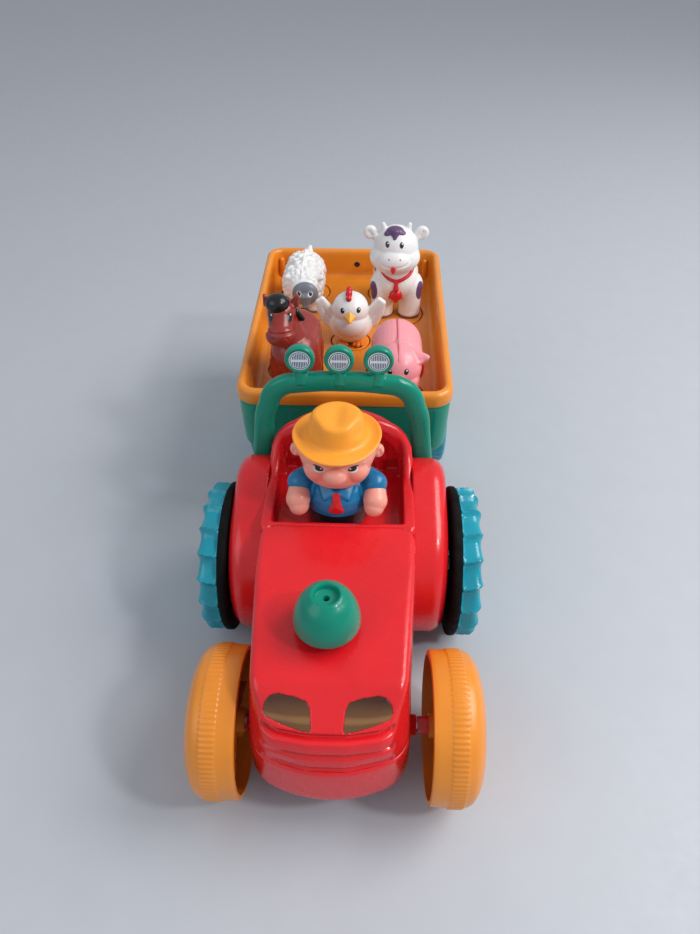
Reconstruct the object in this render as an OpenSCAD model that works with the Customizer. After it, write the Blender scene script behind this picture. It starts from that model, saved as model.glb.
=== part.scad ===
// Toy farm tractor with a lift-out driver, a two-wheeled trailer and five
// farm animals that stand on press keys in the trailer's tray.
// Frame: nose toward -Y, trailer toward +Y, Z up, origin on the ground
// below the middle of the whole train.

/* [Body] */
// Half width of the body beside the fenders
body_half_w = 42.3; // [41:0.1:43]
// Half width of the body at the nose
nose_half_w = 39; // [38:0.1:40]
// Y of the body's rear wall
body_rear_y = -22; // [-23:0.5:-21]
// Height of the underside above the ground
base_z = 20; // [18:0.5:21]
// Height of the joint line between the lower body and the hood
split_z = 56; // [54:0.5:58]
// Wall thickness of the moulded shells
wall = 2.5; // [2:0.1:3]

/* [Hood and cab] */
// Y of the hood's rear edge
hood_rear_y = -92; // [-94:0.5:-90]
// Height of the hood at its rear edge
hood_top_z = 98; // [96:0.5:100]
// Height of the cockpit floor
cockpit_z = 85; // [84:0.5:86]
// Half width of the cockpit
cockpit_half_w = 36; // [34:0.5:37]
// Height of the seat back's arch
seat_top_z = 128; // [124:1:130]

/* [Front wheels] */
// Radius of a front wheel
front_r = 38.3; // [37:0.1:39]
// Y of the front axle
front_y = -174; // [-176:0.5:-172]
// Width of a front wheel
front_w = 26; // [24:0.5:27]
// Distance from the middle to a front wheel's inner edge
front_in = 46; // [44.6:0.1:46.5]
// How far the front wheelset sits to the right in its side play
front_play = 2.7; // [0:0.1:2.8]

/* [Rear wheels] */
// Radius of the rubber ring of a rear wheel
rear_r = 45.3; // [44:0.1:46]
// Y of the rear axle
rear_y = -68.6; // [-70:0.1:-67]
// Distance from the middle to the inner edge of the rubber ring
tyre_in = 63.4; // [63.2:0.1:64]
// How far the rear wheelset sits to the right in its side play
rear_play = 1.1; // [0:0.1:1.1]
// Width of the rubber ring
tyre_w = 5; // [4.5:0.1:7]
// Width of the lugged blue part
lug_w = 12.9; // [11:0.1:13]
// Number of lugs
lugs = 18; // [14:1:24]

/* [Fenders] */
// Distance from the middle to a fender's outer face
fender_out = 62; // [58:0.1:62]

/* [Roll bar] */
// Y of the roll bar's middle
bar_y = -28; // [-28.5:0.1:-27.5]
// Height of the top bar's middle
bar_z = 147; // [144:0.5:150]
// Radius of a lamp pod
lamp_r = 8.4; // [7.5:0.1:9]
// Height of the lamp pods' middle
lamp_z = 163; // [162:0.1:165]
// Distance between lamp pods
lamp_pitch = 21.5; // [19:0.1:23]

/* [Stack button] */
// Y of the stack button
stack_y = -156; // [-157:0.5:-151]
// Widest radius of the stack button
stack_r = 15.5; // [14:0.1:16]
// Height of the stack button's top
stack_top_z = 118.5; // [113:0.5:119]

/* [Driver] */
// Y of the driver
driver_y = -69; // [-70:0.5:-68]
// Radius of the hat's brim
brim_r = 23.5; // [21:0.5:24]

/* [Trailer] */
// Y of the trailer's front
trailer_y0 = -1; // [-1.5:0.1:0]
// Y of the trailer's rear
trailer_y1 = 212.3; // [211:0.1:213]
// Half width of the tray's rim at the front
rim_half_w = 68.8; // [67:0.1:69]
// How much wider each side of the rim is at the rear
rim_flare = 3; // [0:0.5:4]
// Height of the rim's top
rim_z = 118; // [116:0.5:119]
// Height of the rim band
rim_h = 12; // [11:0.5:13]
// Height of the tray's floor
tray_z = 97; // [96.5:0.5:98]
// Height of the trailer's underside
trailer_z = 72; // [71:0.5:73]
// Radius of a trailer wheel
trailer_r = 34; // [33:0.5:34]
// Y of the trailer's axle
trailer_axle_y = 90; // [86:1:94]
// Distance from the middle to a trailer wheel's inner face
trailer_wheel_in = 59; // [58.5:0.5:60]
// Width of a trailer wheel
trailer_wheel_w = 16; // [14:0.5:17]
// Y of the hitch peg
hitch_y = -12; // [-12.5:0.1:-11.5]

/* [Animal keys] */
// Radius of one lobe of the cow's and the horse's key
big_lobe_r = 21.2; // [20:0.1:21.4]
// Radius of one lobe of the sheep's and the pig's key
small_lobe_r = 19.4; // [19:0.1:20]
// Half the distance between the two lobes of a key
lobe_half = 16.5; // [15:0.5:17]
// Gap round each key
key_gap = 1; // [0.6:0.1:1.1]
// X of the cow's key
cow_x = 35; // [34:0.5:38]
// X of the sheep's key
sheep_x = -38.5; // [-39:0.5:-36]
// X of the horse's key
horse_x = -34; // [-38:0.5:-33]
// X of the pig's key
pig_x = 33.5; // [33:0.5:38]
// Y of the rear row of keys
rear_row_y = 160.5; // [159:0.5:162]
// Y of the front row of keys
front_row_y = 46; // [45.5:0.5:48]
// X of the chicken's round key
chicken_x = 1; // [0:0.5:2]
// Y of the chicken's round key
round_key_y = 101; // [100:0.5:103]
// Radius of the chicken's round key
round_key_r = 14; // [13:0.1:15]

/* [Hidden] */
$fn = 48;
EPS = 0.01;
FIT = 0.06;

RED = [0.84, 0.13, 0.15];
GREEN = [0.0, 0.55, 0.45];
YELLOW = [0.90, 0.58, 0.17];
BLUE = [0.05, 0.58, 0.70];
BLACK = [0.04, 0.04, 0.05];
STEEL = [0.72, 0.73, 0.75];
SMOKE = [0.42, 0.32, 0.2, 0.6];
WHITE = [0.92, 0.91, 0.9];
PINK = [0.95, 0.62, 0.64];
BROWN = [0.52, 0.17, 0.15];
SKIN = [0.93, 0.66, 0.58];
SHIRT = [0.08, 0.46, 0.68];
STRAW = [0.96, 0.65, 0.2];
BOARD = [0.1, 0.4, 0.2];
BRASS = [0.8, 0.65, 0.3];

hood_slope = 0.0707;
axle_r = 2;
rear_axle_r = 2.5;
screw_r = 1.4;
plate_t = 2.5;
plate_top = base_z + plate_t;

// Gear train: axle gear, compound reduction gear and motor pinion
gear_m = 1.25;
big_teeth = 30;
small_teeth = 12;
pressure = 20;
gear_gap = gear_m * (big_teeth + small_teeth) / 2 + 0.1;
train_angle = 156;
red_y = rear_y + gear_gap * cos(train_angle);
red_z = rear_r + gear_gap * sin(train_angle);
motor_y = red_y - gear_gap;
motor_z = red_z;
motor_r = 12;

cell_r = 7.25;
cell_len = 50;
cell_mid_y = -139;
cell_pitch = 16;
cell_z = plate_top + 1.2 + cell_r;
board_z = 70;
tray_wall = 6;
tray_y1 = trailer_y1 - tray_wall;
sound_z = 80;
key_flange_z = tray_z - 5.2;
stem_z = 88;

// ---------- shared shapes ----------

// Points of an arc from angle a0 to a1
function arc(cx, cy, r, a0, a1, n = 8) =
  [for (i = [0 : n]) let (a = a0 + (a1 - a0) * i / n) [cx + r * cos(a), cy + r * sin(a)]];

module box(lo, hi) {
  translate(lo) cube(hi - lo);
}

// A cylinder along X that starts at x
module rod_x(x, y, z, r, len) {
  translate([x, y, z]) rotate([0, 90, 0]) cylinder(r = r, h = len);
}

// Solid of revolution about X, with points as [distance from start, radius]
module turned_x(x, y, z, dir, points) {
  translate([x, y, z]) rotate([0, 90 * dir, 0])
    rotate_extrude($fn = 72) polygon([for (p = points) [p[1], p[0]]]);
}

// A capsule from a to b whose radius goes from ra to rb
module capsule(a, b, ra, rb) {
  d = b - a;
  len = norm(d);
  tilt = len == 0 ? 0 : acos(d[2] / len);
  turn = atan2(d[1], d[0]);
  low = arc(0, 0, ra, -90, 0, 5);
  high = arc(0, len, rb, 0, 90, 5);
  translate(a) rotate([0, tilt, turn])
    rotate_extrude($fn = 32) polygon(concat([[0, -ra]], [for (i = [1 : 5]) low[i]],
      [for (i = [0 : 4]) high[i]], [[0, len + rb]]));
}

// A round lump, flattened by k along Z
module lump(c, r, k = 1) {
  profile = arc(0, 0, r, -90, 90, 12);
  translate(c) rotate_extrude($fn = 36)
    polygon([for (p = profile) [max(0, p[0]), p[1] * k]]);
}

// Involute tooth: half angle of the tooth at radius r
function inv_deg(a) = tan(a) * 180 / PI - a;
function half_tooth(r, rp, rb, slack) =
  (PI * gear_m / 2 - slack) / (2 * rp) * 180 / PI + inv_deg(pressure)
  - (r > rb ? inv_deg(acos(rb / r)) : 0);

// Outline of a spur gear, turned by phase degrees
module gear_outline(teeth, phase) {
  rp = gear_m * teeth / 2;
  rb = rp * cos(pressure);
  tip = rp + gear_m * 0.8;
  root = rp - gear_m * 1.15;
  steps = 4;
  slack = 0.45;
  start = max(root, rb * 0.995);
  polygon([for (i = [0 : teeth - 1]) let (mid = phase + i * 360 / teeth) each concat(
    [let (a = mid - half_tooth(start, rp, rb, slack)) [root * cos(a), root * sin(a)]],
    [for (k = [0 : steps]) let (r = start + (tip - start) * k / steps,
      a = mid - half_tooth(r, rp, rb, slack)) [r * cos(a), r * sin(a)]],
    [for (k = [0 : steps]) let (r = tip - (tip - start) * k / steps,
      a = mid + half_tooth(r, rp, rb, slack)) [r * cos(a), r * sin(a)]],
    [let (a = mid + half_tooth(start, rp, rb, slack)) [root * cos(a), root * sin(a)]]
  )]);
}

// A spur gear on an axis along X; its outline's x is -Z and its y is Y
module gear_x(x, y, z, teeth, width, phase) {
  translate([x, y, z]) rotate([0, 90, 0]) linear_extrude(width) gear_outline(teeth, phase);
}

// Plan outline of the body, tapered toward a bowed nose
module body_plan(inset, rear = body_rear_y) {
  corner_r = 18;
  cx = nose_half_w - corner_r;
  cy = -187;
  bend = 65;
  bow = cx / cos(bend);
  bow_r = corner_r + bow;
  bow_y = cy + bow * sin(bend);
  polygon(concat(
    [[body_half_w - inset, rear - inset], [-(body_half_w - inset), rear - inset]],
    [[-(body_half_w - inset), -104]],
    arc(-cx, cy, corner_r - inset, 180, 180 + bend, 6),
    arc(0, bow_y, bow_r - inset, 180 + bend + 2, 360 - bend - 2, 10),
    arc(cx, cy, corner_r - inset, 360 - bend, 360, 6),
    [[body_half_w - inset, -104]]
  ));
}

// Screw with a pan head, pointing up
module screw(p, len) {
  translate(p) {
    cylinder(r = 2.6, h = 1.8);
    cylinder(r = screw_r, h = len);
  }
}

BODY_BOSSES = [[34, -150], [-34, -150], [34, -34], [-34, -34]];
TRAILER_BOSSES = [[46, 12], [-46, 12], [46, 192], [-46, 192]];

// ---------- tractor shells ----------

module axle_stub(dir) {
  stub = 13.8;
  reach = nose_half_w + 3.9;
  rod_x(dir > 0 ? reach - stub : -reach, front_y, front_r, 4.7, stub);
}

module lower_body() {
  boss_h = 22;
  color(RED) difference() {
    union() {
      difference() {
        translate([0, 0, plate_top]) linear_extrude(split_z - plate_top) body_plan(0);
        translate([0, 0, plate_top - 1]) linear_extrude(split_z) body_plan(wall);
      }
      axle_stub(1);
      axle_stub(-1);
      for (p = BODY_BOSSES) translate([p[0], p[1], plate_top]) cylinder(r = 4, h = boss_h);
    }
    rod_x(-60, front_y, front_r, axle_r + FIT, 120);
    rod_x(-60, rear_y, rear_r, 4, 120);
    for (p = BODY_BOSSES) translate([p[0], p[1], plate_top - 1]) cylinder(r = screw_r + 0.1, h = 18);
    hitch_slot();
  }
}

module hitch_slot() {
  box([-9.1, body_rear_y - 6, 35.9], [9.1, body_rear_y + 6, 40.1]);
}

// Outer form of the hood, shrunk by inset
module hood_form(inset) {
  hull() for (s = [-1, 1]) {
    translate([s * (body_half_w - 10), hood_rear_y + 9, hood_top_z + 0.6 - 10])
      sphere(10 - inset, $fn = 32);
    translate([s * 26, -179, 91.8 - 12]) sphere(12 - inset, $fn = 32);
    translate([s * 20, -191.5, 68.5]) sphere(13.4 - inset, $fn = 32);
    translate([s * 8, -193.5, 68.5]) sphere(13.4 - inset, $fn = 32);
    translate([s * 21, -187.6, 50]) cylinder(r = 17 - inset, h = 10, $fn = 32);
    translate([s * 7, -191.3, 50]) cylinder(r = 17 - inset, h = 10, $fn = 32);
    translate([s * (body_half_w - 4), hood_rear_y + 9, 50]) cylinder(r = 4 - inset, h = 10, $fn = 32);
  }
}

// The two headlamp windows as prisms through the nose slope
module lamp_windows(shrink) {
  for (s = [-1, 1]) mirror([s < 0 ? 1 : 0, 0, 0])
    translate([0, -196, 86]) rotate([36, 0, 0])
      translate([0, 0, -9]) linear_extrude(24)
        polygon([
          [7.3 + shrink, -9 + shrink], [28.2 - shrink, -1.5 + shrink],
          [28.8 - shrink, 1.5], [24.5 - shrink, 8 - shrink],
          [9 + shrink, 4.6 - shrink]
        ]);
}

module hood() {
  color(RED) difference() {
    intersection() {
      hood_form(0);
      box([-60, -230, split_z], [60, hood_rear_y, 120]);
    }
    hood_form(wall);
    lamp_windows(0);
    translate([0, stack_y, 60]) cylinder(r = 5.7, h = 60);
  }
}

module cab_arch(inset) {
  // Front outline of the seat back: an arch on top of straight sides
  a = body_half_w - 1.7 - inset;
  b = seat_top_z - 94 - inset;
  rise = [for (i = [0 : 20]) [a * cos(i * 9), 94 + b * sin(i * 9)]];
  polygon(concat(rise, [[-a, 70], [a, 70]]));
}

module cab() {
  seat_front = -37;
  seat_rear = -25;
  side_top = 97.4;
  color(RED) difference() {
    union() {
      box([-body_half_w, hood_rear_y, split_z], [body_half_w, seat_front, side_top]);
      box([-body_half_w, seat_front - EPS, split_z], [body_half_w, body_rear_y, 90]);
      translate([0, seat_rear, 0]) rotate([90, 0, 0]) linear_extrude(seat_rear - seat_front)
        cab_arch(0);
    }
    box([-cockpit_half_w, hood_rear_y + 2.4, cockpit_z], [cockpit_half_w, seat_front - EPS, 140]);
    translate([0, seat_rear - 5, 0]) rotate([90, 0, 0]) linear_extrude(20)
      intersection() {
        cab_arch(6.5);
        translate([-60, cockpit_z]) square([120, 60]);
      }
    box([-body_half_w + wall, hood_rear_y - 1, split_z - 1],
      [body_half_w - wall, body_rear_y - wall, cockpit_z - wall]);
  }
}

// Side outline of a fender, shrunk by inset
module fender_disc(inset, x, width) {
  translate([x, 0, 0]) rotate([90, 0, 90]) {
    translate([rear_y + 2.6, 48, 0]) cylinder(r = 47 - inset, h = width, $fn = 56);
    translate([-48, 73, 0]) cylinder(r = 28 - inset, h = width, $fn = 56);
  }
}

module fender_form(inset) {
  edge = 9;
  hull() for (k = [0 : 3]) {
    a = k * 30;
    fender_disc(inset + edge * (1 - sin(a)) * 0.98, body_half_w, fender_out - inset
      - edge * (1 - cos(a)) - body_half_w);
  }
}

module fender() {
  difference() {
    intersection() {
      fender_form(0);
      box([body_half_w, -140, plate_top], [70, 0, 120]);
    }
    intersection() {
      fender_form(2.2);
      box([body_half_w - 1, -140, plate_top - 1], [70, 0, 120]);
    }
    rod_x(30, rear_y, rear_r, 4, 40);
    roll_bar_leg_space();
  }
}

module fender_right() {
  color(RED) fender();
}

module fender_left() {
  color(RED) mirror([1, 0, 0]) fender();
}

module base_plate() {
  cell_x = 27;
  y0 = cell_mid_y - 28;
  y1 = cell_mid_y + 28;
  color(RED) difference() {
    union() {
      translate([0, 0, base_z]) linear_extrude(plate_t) body_plan(1);
      box([-cell_x - 2, y0 - 2, plate_top - EPS], [cell_x + 2, y1 + 2, plate_top + 12]);
      for (p = [[-33, -136], [33, -136], [-33, -164], [33, -164]])
        translate([p[0], p[1], plate_top - EPS]) cylinder(r = 2.6, h = board_z - plate_top);
    }
    box([-cell_x, y0, base_z - 1], [cell_x, y1, plate_top + 20]);
    for (p = BODY_BOSSES) translate([p[0], p[1], base_z - 1]) {
      cylinder(r = screw_r + 0.3, h = 6);
      cylinder(r = 3, h = 1.9);
    }
    for (x = [-10 : 5 : 10], y = [-200 : 5 : -185])
      translate([x, y, base_z - 1]) cylinder(r = 1.2, h = 6, $fn = 16);
    box([22, -54, base_z - 1], [28, -38, plate_top + 1]);
  }
}

module battery_door() {
  y0 = cell_mid_y - 28;
  y1 = cell_mid_y + 28;
  color(RED) {
    difference() {
      box([-26.8, y0 + 0.2, base_z], [26.8, y1 - 0.2, plate_top - 0.3]);
      for (x = [-8 : 4 : 8]) box([x - 1, y0 + 4, base_z - 1], [x + 1, y0 + 12, base_z + 0.8]);
    }
  }
}

// ---------- lamps ----------

module headlamp_lenses() {
  color(SMOKE) intersection() {
    difference() {
      hood_form(0.3);
      hood_form(2.2);
    }
    lamp_windows(0.15);
  }
}

// Places a headlamp's inner parts on the axis of its window
module lamp_axis() {
  for (s = [-1, 1]) translate([s * 17, -181, 68]) rotate([54, 0, 0]) children();
}

module headlamp_reflectors() {
  color(STEEL) lamp_axis() difference() {
    cylinder(r1 = 5, r2 = 8, h = 8);
    translate([0, 0, 1.5]) cylinder(r1 = 4, r2 = 7.4, h = 8);
    translate([0, 0, -1]) cylinder(r = 2.7, h = 6);
  }
}

module headlamp_leds() {
  color(WHITE) lamp_axis() translate([0, 0, -3]) {
    cylinder(r = 2.5, h = 7);
    translate([0, 0, 7]) lump([0, 0, 0], 2.5);
  }
}

// ---------- roll bar ----------

// Leaning leg: inner and outer half width at height z
function leg_out(z) = 55.4 - (z - 88) * 0.12;

// Thickness of the hoop seen from the front
bar_t = 12;

module bar_outline(inset) {
  // Outer outline of the hoop; the inset gives the inner one
  top = bar_z + 5 - inset;
  r = 16 - inset * 0.5;
  x = leg_out(bar_z) - inset;
  polygon(concat(
    [[-(leg_out(86) - inset), 86], [leg_out(86) - inset, 86]],
    arc(x - r, top - r, r, 0, 80, 8),
    [[12, top + 1.6], [-12, top + 1.6]],
    arc(-(x - r), top - r, r, 100, 180, 8)
  ));
}

module roll_bar_leg_space() {
  box([42, bar_y - 4.2, 85], [56.2, bar_y + 4.2, 100]);
}

module roll_bar() {
  color(GREEN) difference() {
    union() {
      translate([0, bar_y + 4, 0]) rotate([90, 0, 0]) linear_extrude(8) difference() {
        bar_outline(0);
        bar_outline(bar_t);
        translate([-60, 80]) square([120, 6.1]);
      }
      for (i = [-1 : 1]) {
        translate([i * lamp_pitch, bar_y + 3.5, lamp_z]) rotate([90, 0, 0]) cylinder(r = lamp_r, h = 7);
        box([i * lamp_pitch - 5, bar_y - 3.5, bar_z], [i * lamp_pitch + 5, bar_y + 3.5, 160]);
      }
    }
    for (i = [-1 : 1]) translate([i * lamp_pitch, bar_y - 2.9, lamp_z]) rotate([90, 0, 0])
      cylinder(r = 6.4, h = 4);
    box([-42.4, bar_y - 8, 80], [42.4, bar_y + 8, 95]);
  }
}

module lamp_decals() {
  color([0.75, 0.88, 0.95]) for (i = [-1 : 1])
    translate([i * lamp_pitch, bar_y - 2.9, lamp_z]) rotate([90, 0, 0]) cylinder(r = 5.9, h = 0.4);
}

// ---------- drive and electrics ----------

module motor() {
  color(STEEL) difference() {
    union() {
      rod_x(13.2, motor_y, motor_z, motor_r, 22);
      rod_x(35.2, motor_y, motor_z, 4, 2);
    }
    rod_x(12, motor_y, motor_z, 1 + FIT, 10);
  }
}

module gearbox_housing() {
  plate = 2;
  half = 11;
  outline = [
    [rear_y - 15, 24], [red_y - 4, 34], [motor_y - 9, motor_z - 11],
    [motor_y - 9, motor_z + 14], [red_y - 6, red_z + 24], [rear_y + 19, rear_r + 22],
    [rear_y + 19, 24]
  ];
  posts = [[rear_y + 16, 28], [rear_y + 16, rear_r + 17], [red_y - 4, red_z + 22.3], [motor_y - 5, motor_z - 9]];
  color(WHITE) difference() {
    union() {
      for (x = [-half - plate, half]) translate([x, 0, 0]) rotate([90, 0, 90]) linear_extrude(plate)
        polygon(outline);
      for (p = posts) rod_x(-half - EPS, p[0], p[1], 1.8, 2 * half + 2 * EPS);
    }
    rod_x(-20, rear_y, rear_r, rear_axle_r + FIT, 40);
    rod_x(-20, red_y, red_z, 1.5 + FIT, 40);
    rod_x(-20, motor_y, motor_z, 2, 40);
  }
}

module batteries() {
  color(BRASS) for (i = [-1 : 1]) translate([i * cell_pitch, cell_mid_y + cell_len / 2, cell_z])
    rotate([90, 0, 0]) {
      cylinder(r = cell_r, h = cell_len - 1.5);
      translate([0, 0, cell_len - 1.5]) cylinder(r = 2.7, h = 1.5);
    }
}

module battery_contacts() {
  color(STEEL) for (s = [-1, 1]) {
    y = cell_mid_y + s * (cell_len / 2 + 0.6);
    box([-24, y - 0.3, plate_top + 2], [24, y + 0.3, plate_top + 11]);
  }
}

module circuit_board() {
  color(BOARD) {
    box([-36, -167, board_z], [36, -132, board_z + 1.6]);
    box([-4, stack_y - 4, board_z + 1.6], [4, stack_y + 4, board_z + 5]);
    box([-28, -162, board_z + 1.6], [-16, -150, board_z + 3.4]);
    translate([24, -158, board_z + 1.6]) cylinder(r = 3, h = 8);
    translate([24, -148, board_z + 1.6]) cylinder(r = 2.5, h = 6);
  }
}

module speaker() {
  color(BLACK) translate([0, -192, plate_top]) {
    cylinder(r = 13.4, h = 2.5);
    translate([0, 0, 2.5]) cylinder(r1 = 12, r2 = 8, h = 3);
    translate([0, 0, 5.5]) cylinder(r = 7, h = 4);
  }
}

module body_screws() {
  color(STEEL) for (p = BODY_BOSSES) screw([p[0], p[1], base_z - 0.9], 16);
}

module hitch_peg() {
  color(RED) {
    difference() {
      union() {
        box([-9, body_rear_y - 6, 36], [9, hitch_y, 40]);
        translate([0, hitch_y, 36]) cylinder(r = 9, h = 4);
      }
    }
    translate([0, hitch_y, 40 - EPS]) cylinder(r = 3, h = 9);
    translate([0, hitch_y, 49 - 2 * EPS]) cylinder(r1 = 3, r2 = 1.8, h = 2);
  }
}

// ---------- stack button and switch ----------

stack_base_z = 97.4;

module stack_button() {
  mid_z = 100.5;
  shoulder = [for (i = [0 : 8]) let (a = i * 8.2)
    [stack_r * cos(a) - 0.4 * sin(a), mid_z + (stack_top_z + 1.0 - mid_z) * sin(a)]];
  color(GREEN) difference() {
    union() {
      translate([0, stack_y, 0]) rotate_extrude($fn = 72) polygon(concat(
        [[0, stack_base_z], [12.5, stack_base_z], [14.6, stack_base_z + 1.6]],
        shoulder,
        [[0, shoulder[8][1]]]
      ));
      translate([0, stack_y, 78]) cylinder(r = 5.4, h = 24);
      translate([0, stack_y, 86.2]) cylinder(r = 7, h = 2);
    }
    difference() {
      translate([0, stack_y, stack_base_z - 1]) cylinder(r = 11, h = 12);
      translate([0, stack_y, stack_base_z - 2]) cylinder(r = 5.4, h = 14);
    }
    translate([0, stack_y, stack_top_z - 3]) cylinder(r = 5.6, h = 10);
    translate([0, stack_y, stack_top_z - 6]) cylinder(r = 1.5, h = 10);
  }
}

// Coil spring as one swept tube with eight sides
module stack_spring() {
  turns = 4;
  coil_r = 8;
  wire_r = 0.6;
  z0 = 95.6;
  z1 = 107.7;
  rings = 64;
  sides = 8;
  points = [for (i = [0 : rings]) let (a = 360 * turns * i / rings, z = z0 + (z1 - z0) * i / rings)
    for (j = [0 : sides - 1]) let (b = 360 * j / sides, r = coil_r + wire_r * cos(b))
      [r * cos(a), stack_y + r * sin(a), z + wire_r * sin(b)]];
  skin = [for (i = [0 : rings - 1], j = [0 : sides - 1]) let (k = (j + 1) % sides)
    [i * sides + j, i * sides + k, (i + 1) * sides + k, (i + 1) * sides + j]];
  ends = [[for (j = [0 : sides - 1]) sides - 1 - j], [for (j = [0 : sides - 1]) rings * sides + j]];
  color(STEEL) polyhedron(points, concat(skin, ends), convexity = 6);
}

module power_switch() {
  color(BLACK) {
    box([22.2, -53.5, base_z - 1.6], [27.8, -45, plate_top + 0.2]);
    box([20.5, -55.5, plate_top + 0.2], [29.5, -43, plate_top + 2]);
  }
}

// ---------- wheels and axles ----------

module front_axle() {
  color(STEEL) rod_x(-66 + front_play, front_y, front_r, axle_r, 132);
}

// A cup that opens toward the body, with hub and ribs
module front_wheel(dir) {
  x0 = front_play + dir * front_in;
  difference() {
    union() {
      turned_x(x0, front_y, front_r, dir, [
        [0, front_r - 3.4], [0, front_r - 1.6], [1.2, front_r - 0.6], [8.5, front_r - 0.6],
        [9, front_r], [16, front_r], [16.5, front_r - 0.6], [18, front_r - 1],
        [21, front_r - 3], [23.6, front_r - 6.5], [25.4, front_r - 11], [front_w, front_r - 16],
        [front_w, 9], [front_w - 2.4, 9], [front_w - 2.4, front_r - 16],
        [23, front_r - 12], [20.5, front_r - 7], [17, front_r - 3.6]
      ]);
      turned_x(x0, front_y, front_r, dir, [[0.4, 0], [0.4, 6], [front_w - 1, 6.6], [front_w - 1, 10], [front_w, 10], [front_w, 0]]);
      for (k = [0 : 5]) translate([x0 + dir * 14.5, front_y, front_r]) rotate([k * 60, 0, 0])
        translate([-9.5, -1, 5]) cube([19, 2, 22]);
    }
    rod_x(front_play - 66, front_y, front_r, axle_r - 0.02, 132);
  }
}

module front_wheel_right() {
  color(YELLOW) front_wheel(1);
}

module front_wheel_left() {
  color(YELLOW) front_wheel(-1);
}

module rear_axle() {
  color(STEEL) rod_x(rear_play - 76, rear_y, rear_r, rear_axle_r, 152);
}

module rear_tyre(dir) {
  turned_x(rear_play + dir * tyre_in, rear_y, rear_r, dir, [
    [0, rear_r - 7], [0, rear_r - 1.2], [1.2, rear_r], [tyre_w - 0.8, rear_r],
    [tyre_w, rear_r - 0.8], [tyre_w, rear_r - 7]
  ]);
}

module rear_tyre_right() {
  color(BLACK) rear_tyre(1);
}

module rear_tyre_left() {
  color(BLACK) rear_tyre(-1);
}

module rear_wheel(dir) {
  x0 = rear_play + dir * tyre_in;
  tip = rear_r - 0.4;
  root = rear_r - 4;
  x1 = tyre_w + lug_w;
  difference() {
    union() {
      turned_x(x0, rear_y, rear_r, dir, [
        [1, rear_r - 10], [1, rear_r - 7], [tyre_w, rear_r - 7], [tyre_w, root],
        [x1 - 3, root], [x1 - 1, root - 2.5], [x1 - 1, 30], [x1 - 6, 26], [x1 - 6, 12], [x1 - 1, 9],
        [x1 - 1, 0], [2, 0], [2, 6], [x1 - 8.5, 8], [x1 - 8.5, 28], [x1 - 5, rear_r - 10]
      ]);
      for (k = [0 : lugs - 1]) translate([x0 + dir * (tyre_w + lug_w / 2), rear_y, rear_r])
        rotate([k * 360 / lugs, 0, 0]) translate([-lug_w / 2, -3.2, root - 1.5])
          cube([lug_w, 6.4, tip - root + 1.3]);
    }
    rod_x(rear_play - 76, rear_y, rear_r, rear_axle_r - 0.02, 152);
  }
}

module rear_wheel_right() {
  color(BLUE) rear_wheel(1);
}

module rear_wheel_left() {
  color(BLUE) rear_wheel(-1);
}

module axle_gear() {
  color(WHITE) difference() {
    union() {
      gear_x(-6, rear_y, rear_r, big_teeth, 5, mesh_angle);
      rod_x(-8, rear_y, rear_r, 5, 12);
    }
    rod_x(-20, rear_y, rear_r, rear_axle_r - 0.02, 40);
  }
}

// Phases put a tooth of one gear in a gap of the other on the centre line
mesh_angle = atan2(red_y - rear_y, -(red_z - rear_r));
red_small_phase = mesh_angle + 180 + 180 / small_teeth;

module reduction_gear() {
  color(WHITE) {
    rod_x(-13, red_y, red_z, 1.5, 26);
    gear_x(-7.5, red_y, red_z, small_teeth, 8, red_small_phase);
    gear_x(1, red_y, red_z, big_teeth, 5, 0);
    rod_x(6 - EPS, red_y, red_z, 3.5, 3);
  }
}

module motor_pinion() {
  color(BRASS) {
    gear_x(0.6, motor_y, motor_z, small_teeth, 6, 0);
    rod_x(0, motor_y, motor_z, 1, 21);
  }
}

// ---------- driver ----------

module farmer_body() {
  z = cockpit_z;
  color(SHIRT) translate([0, driver_y, 0]) {
    translate([0, 0, z]) rotate_extrude($fn = 48) polygon([
      [0, 0], [15.5, 0], [18, 3], [18.5, 10], [19, 18], [18, 24], [14, 30], [9, 32.5], [0, 32.5]
    ]);
    for (s = [-1, 1]) {
      capsule([s * 15, 0, z + 25], [s * 22.5, -5, z + 20], 6.5, 6);
      capsule([s * 22.5, -5, z + 20], [s * 20, -13, z + 15], 5.4, 5.6);
    }
  }
}

module farmer_head() {
  color(SKIN) translate([0, driver_y, 0]) {
    difference() {
      union() {
        lump([0, 0, 133], 19.2, 0.92);
        lump([0, -18.5, 130], 4.6);
        for (s = [-1, 1]) lump([s * 19, 0, 134], 3.8);
        translate([0, 0, 140]) cylinder(r = 10, h = 6);
      }
      box([-30, -30, 100], [30, 30, 117.5]);
      difference() {
        box([-30, -30, 141.4], [30, 30, 170]);
        translate([0, 0, 140]) cylinder(r = 10, h = 6);
      }
    }
  }
}

module farmer_hat() {
  color(STRAW) translate([0, driver_y, 0]) difference() {
    rotate_extrude($fn = 64) polygon([
      [0, 141.4], [brim_r, 141.4], [brim_r, 143], [18, 144], [16, 145.4], [14.8, 152],
      [12.4, 155.8], [8, 157], [0, 157]
    ]);
    translate([0, 0, 140]) cylinder(r = 10.2, h = 6.4);
  }
}

// ---------- trailer ----------

module tray_plan(inset, r) {
  y0 = trailer_y0 + inset + r;
  y1 = trailer_y1 - inset - r;
  x0 = rim_half_w - inset - r;
  x1 = x0 + rim_flare;
  polygon(concat(
    arc(x0, y0, r, -90, 0), arc(x1, y1, r, 0, 90),
    arc(-x1, y1, r, 90, 180), arc(-x0, y0, r, 180, 270)
  ));
}

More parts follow.
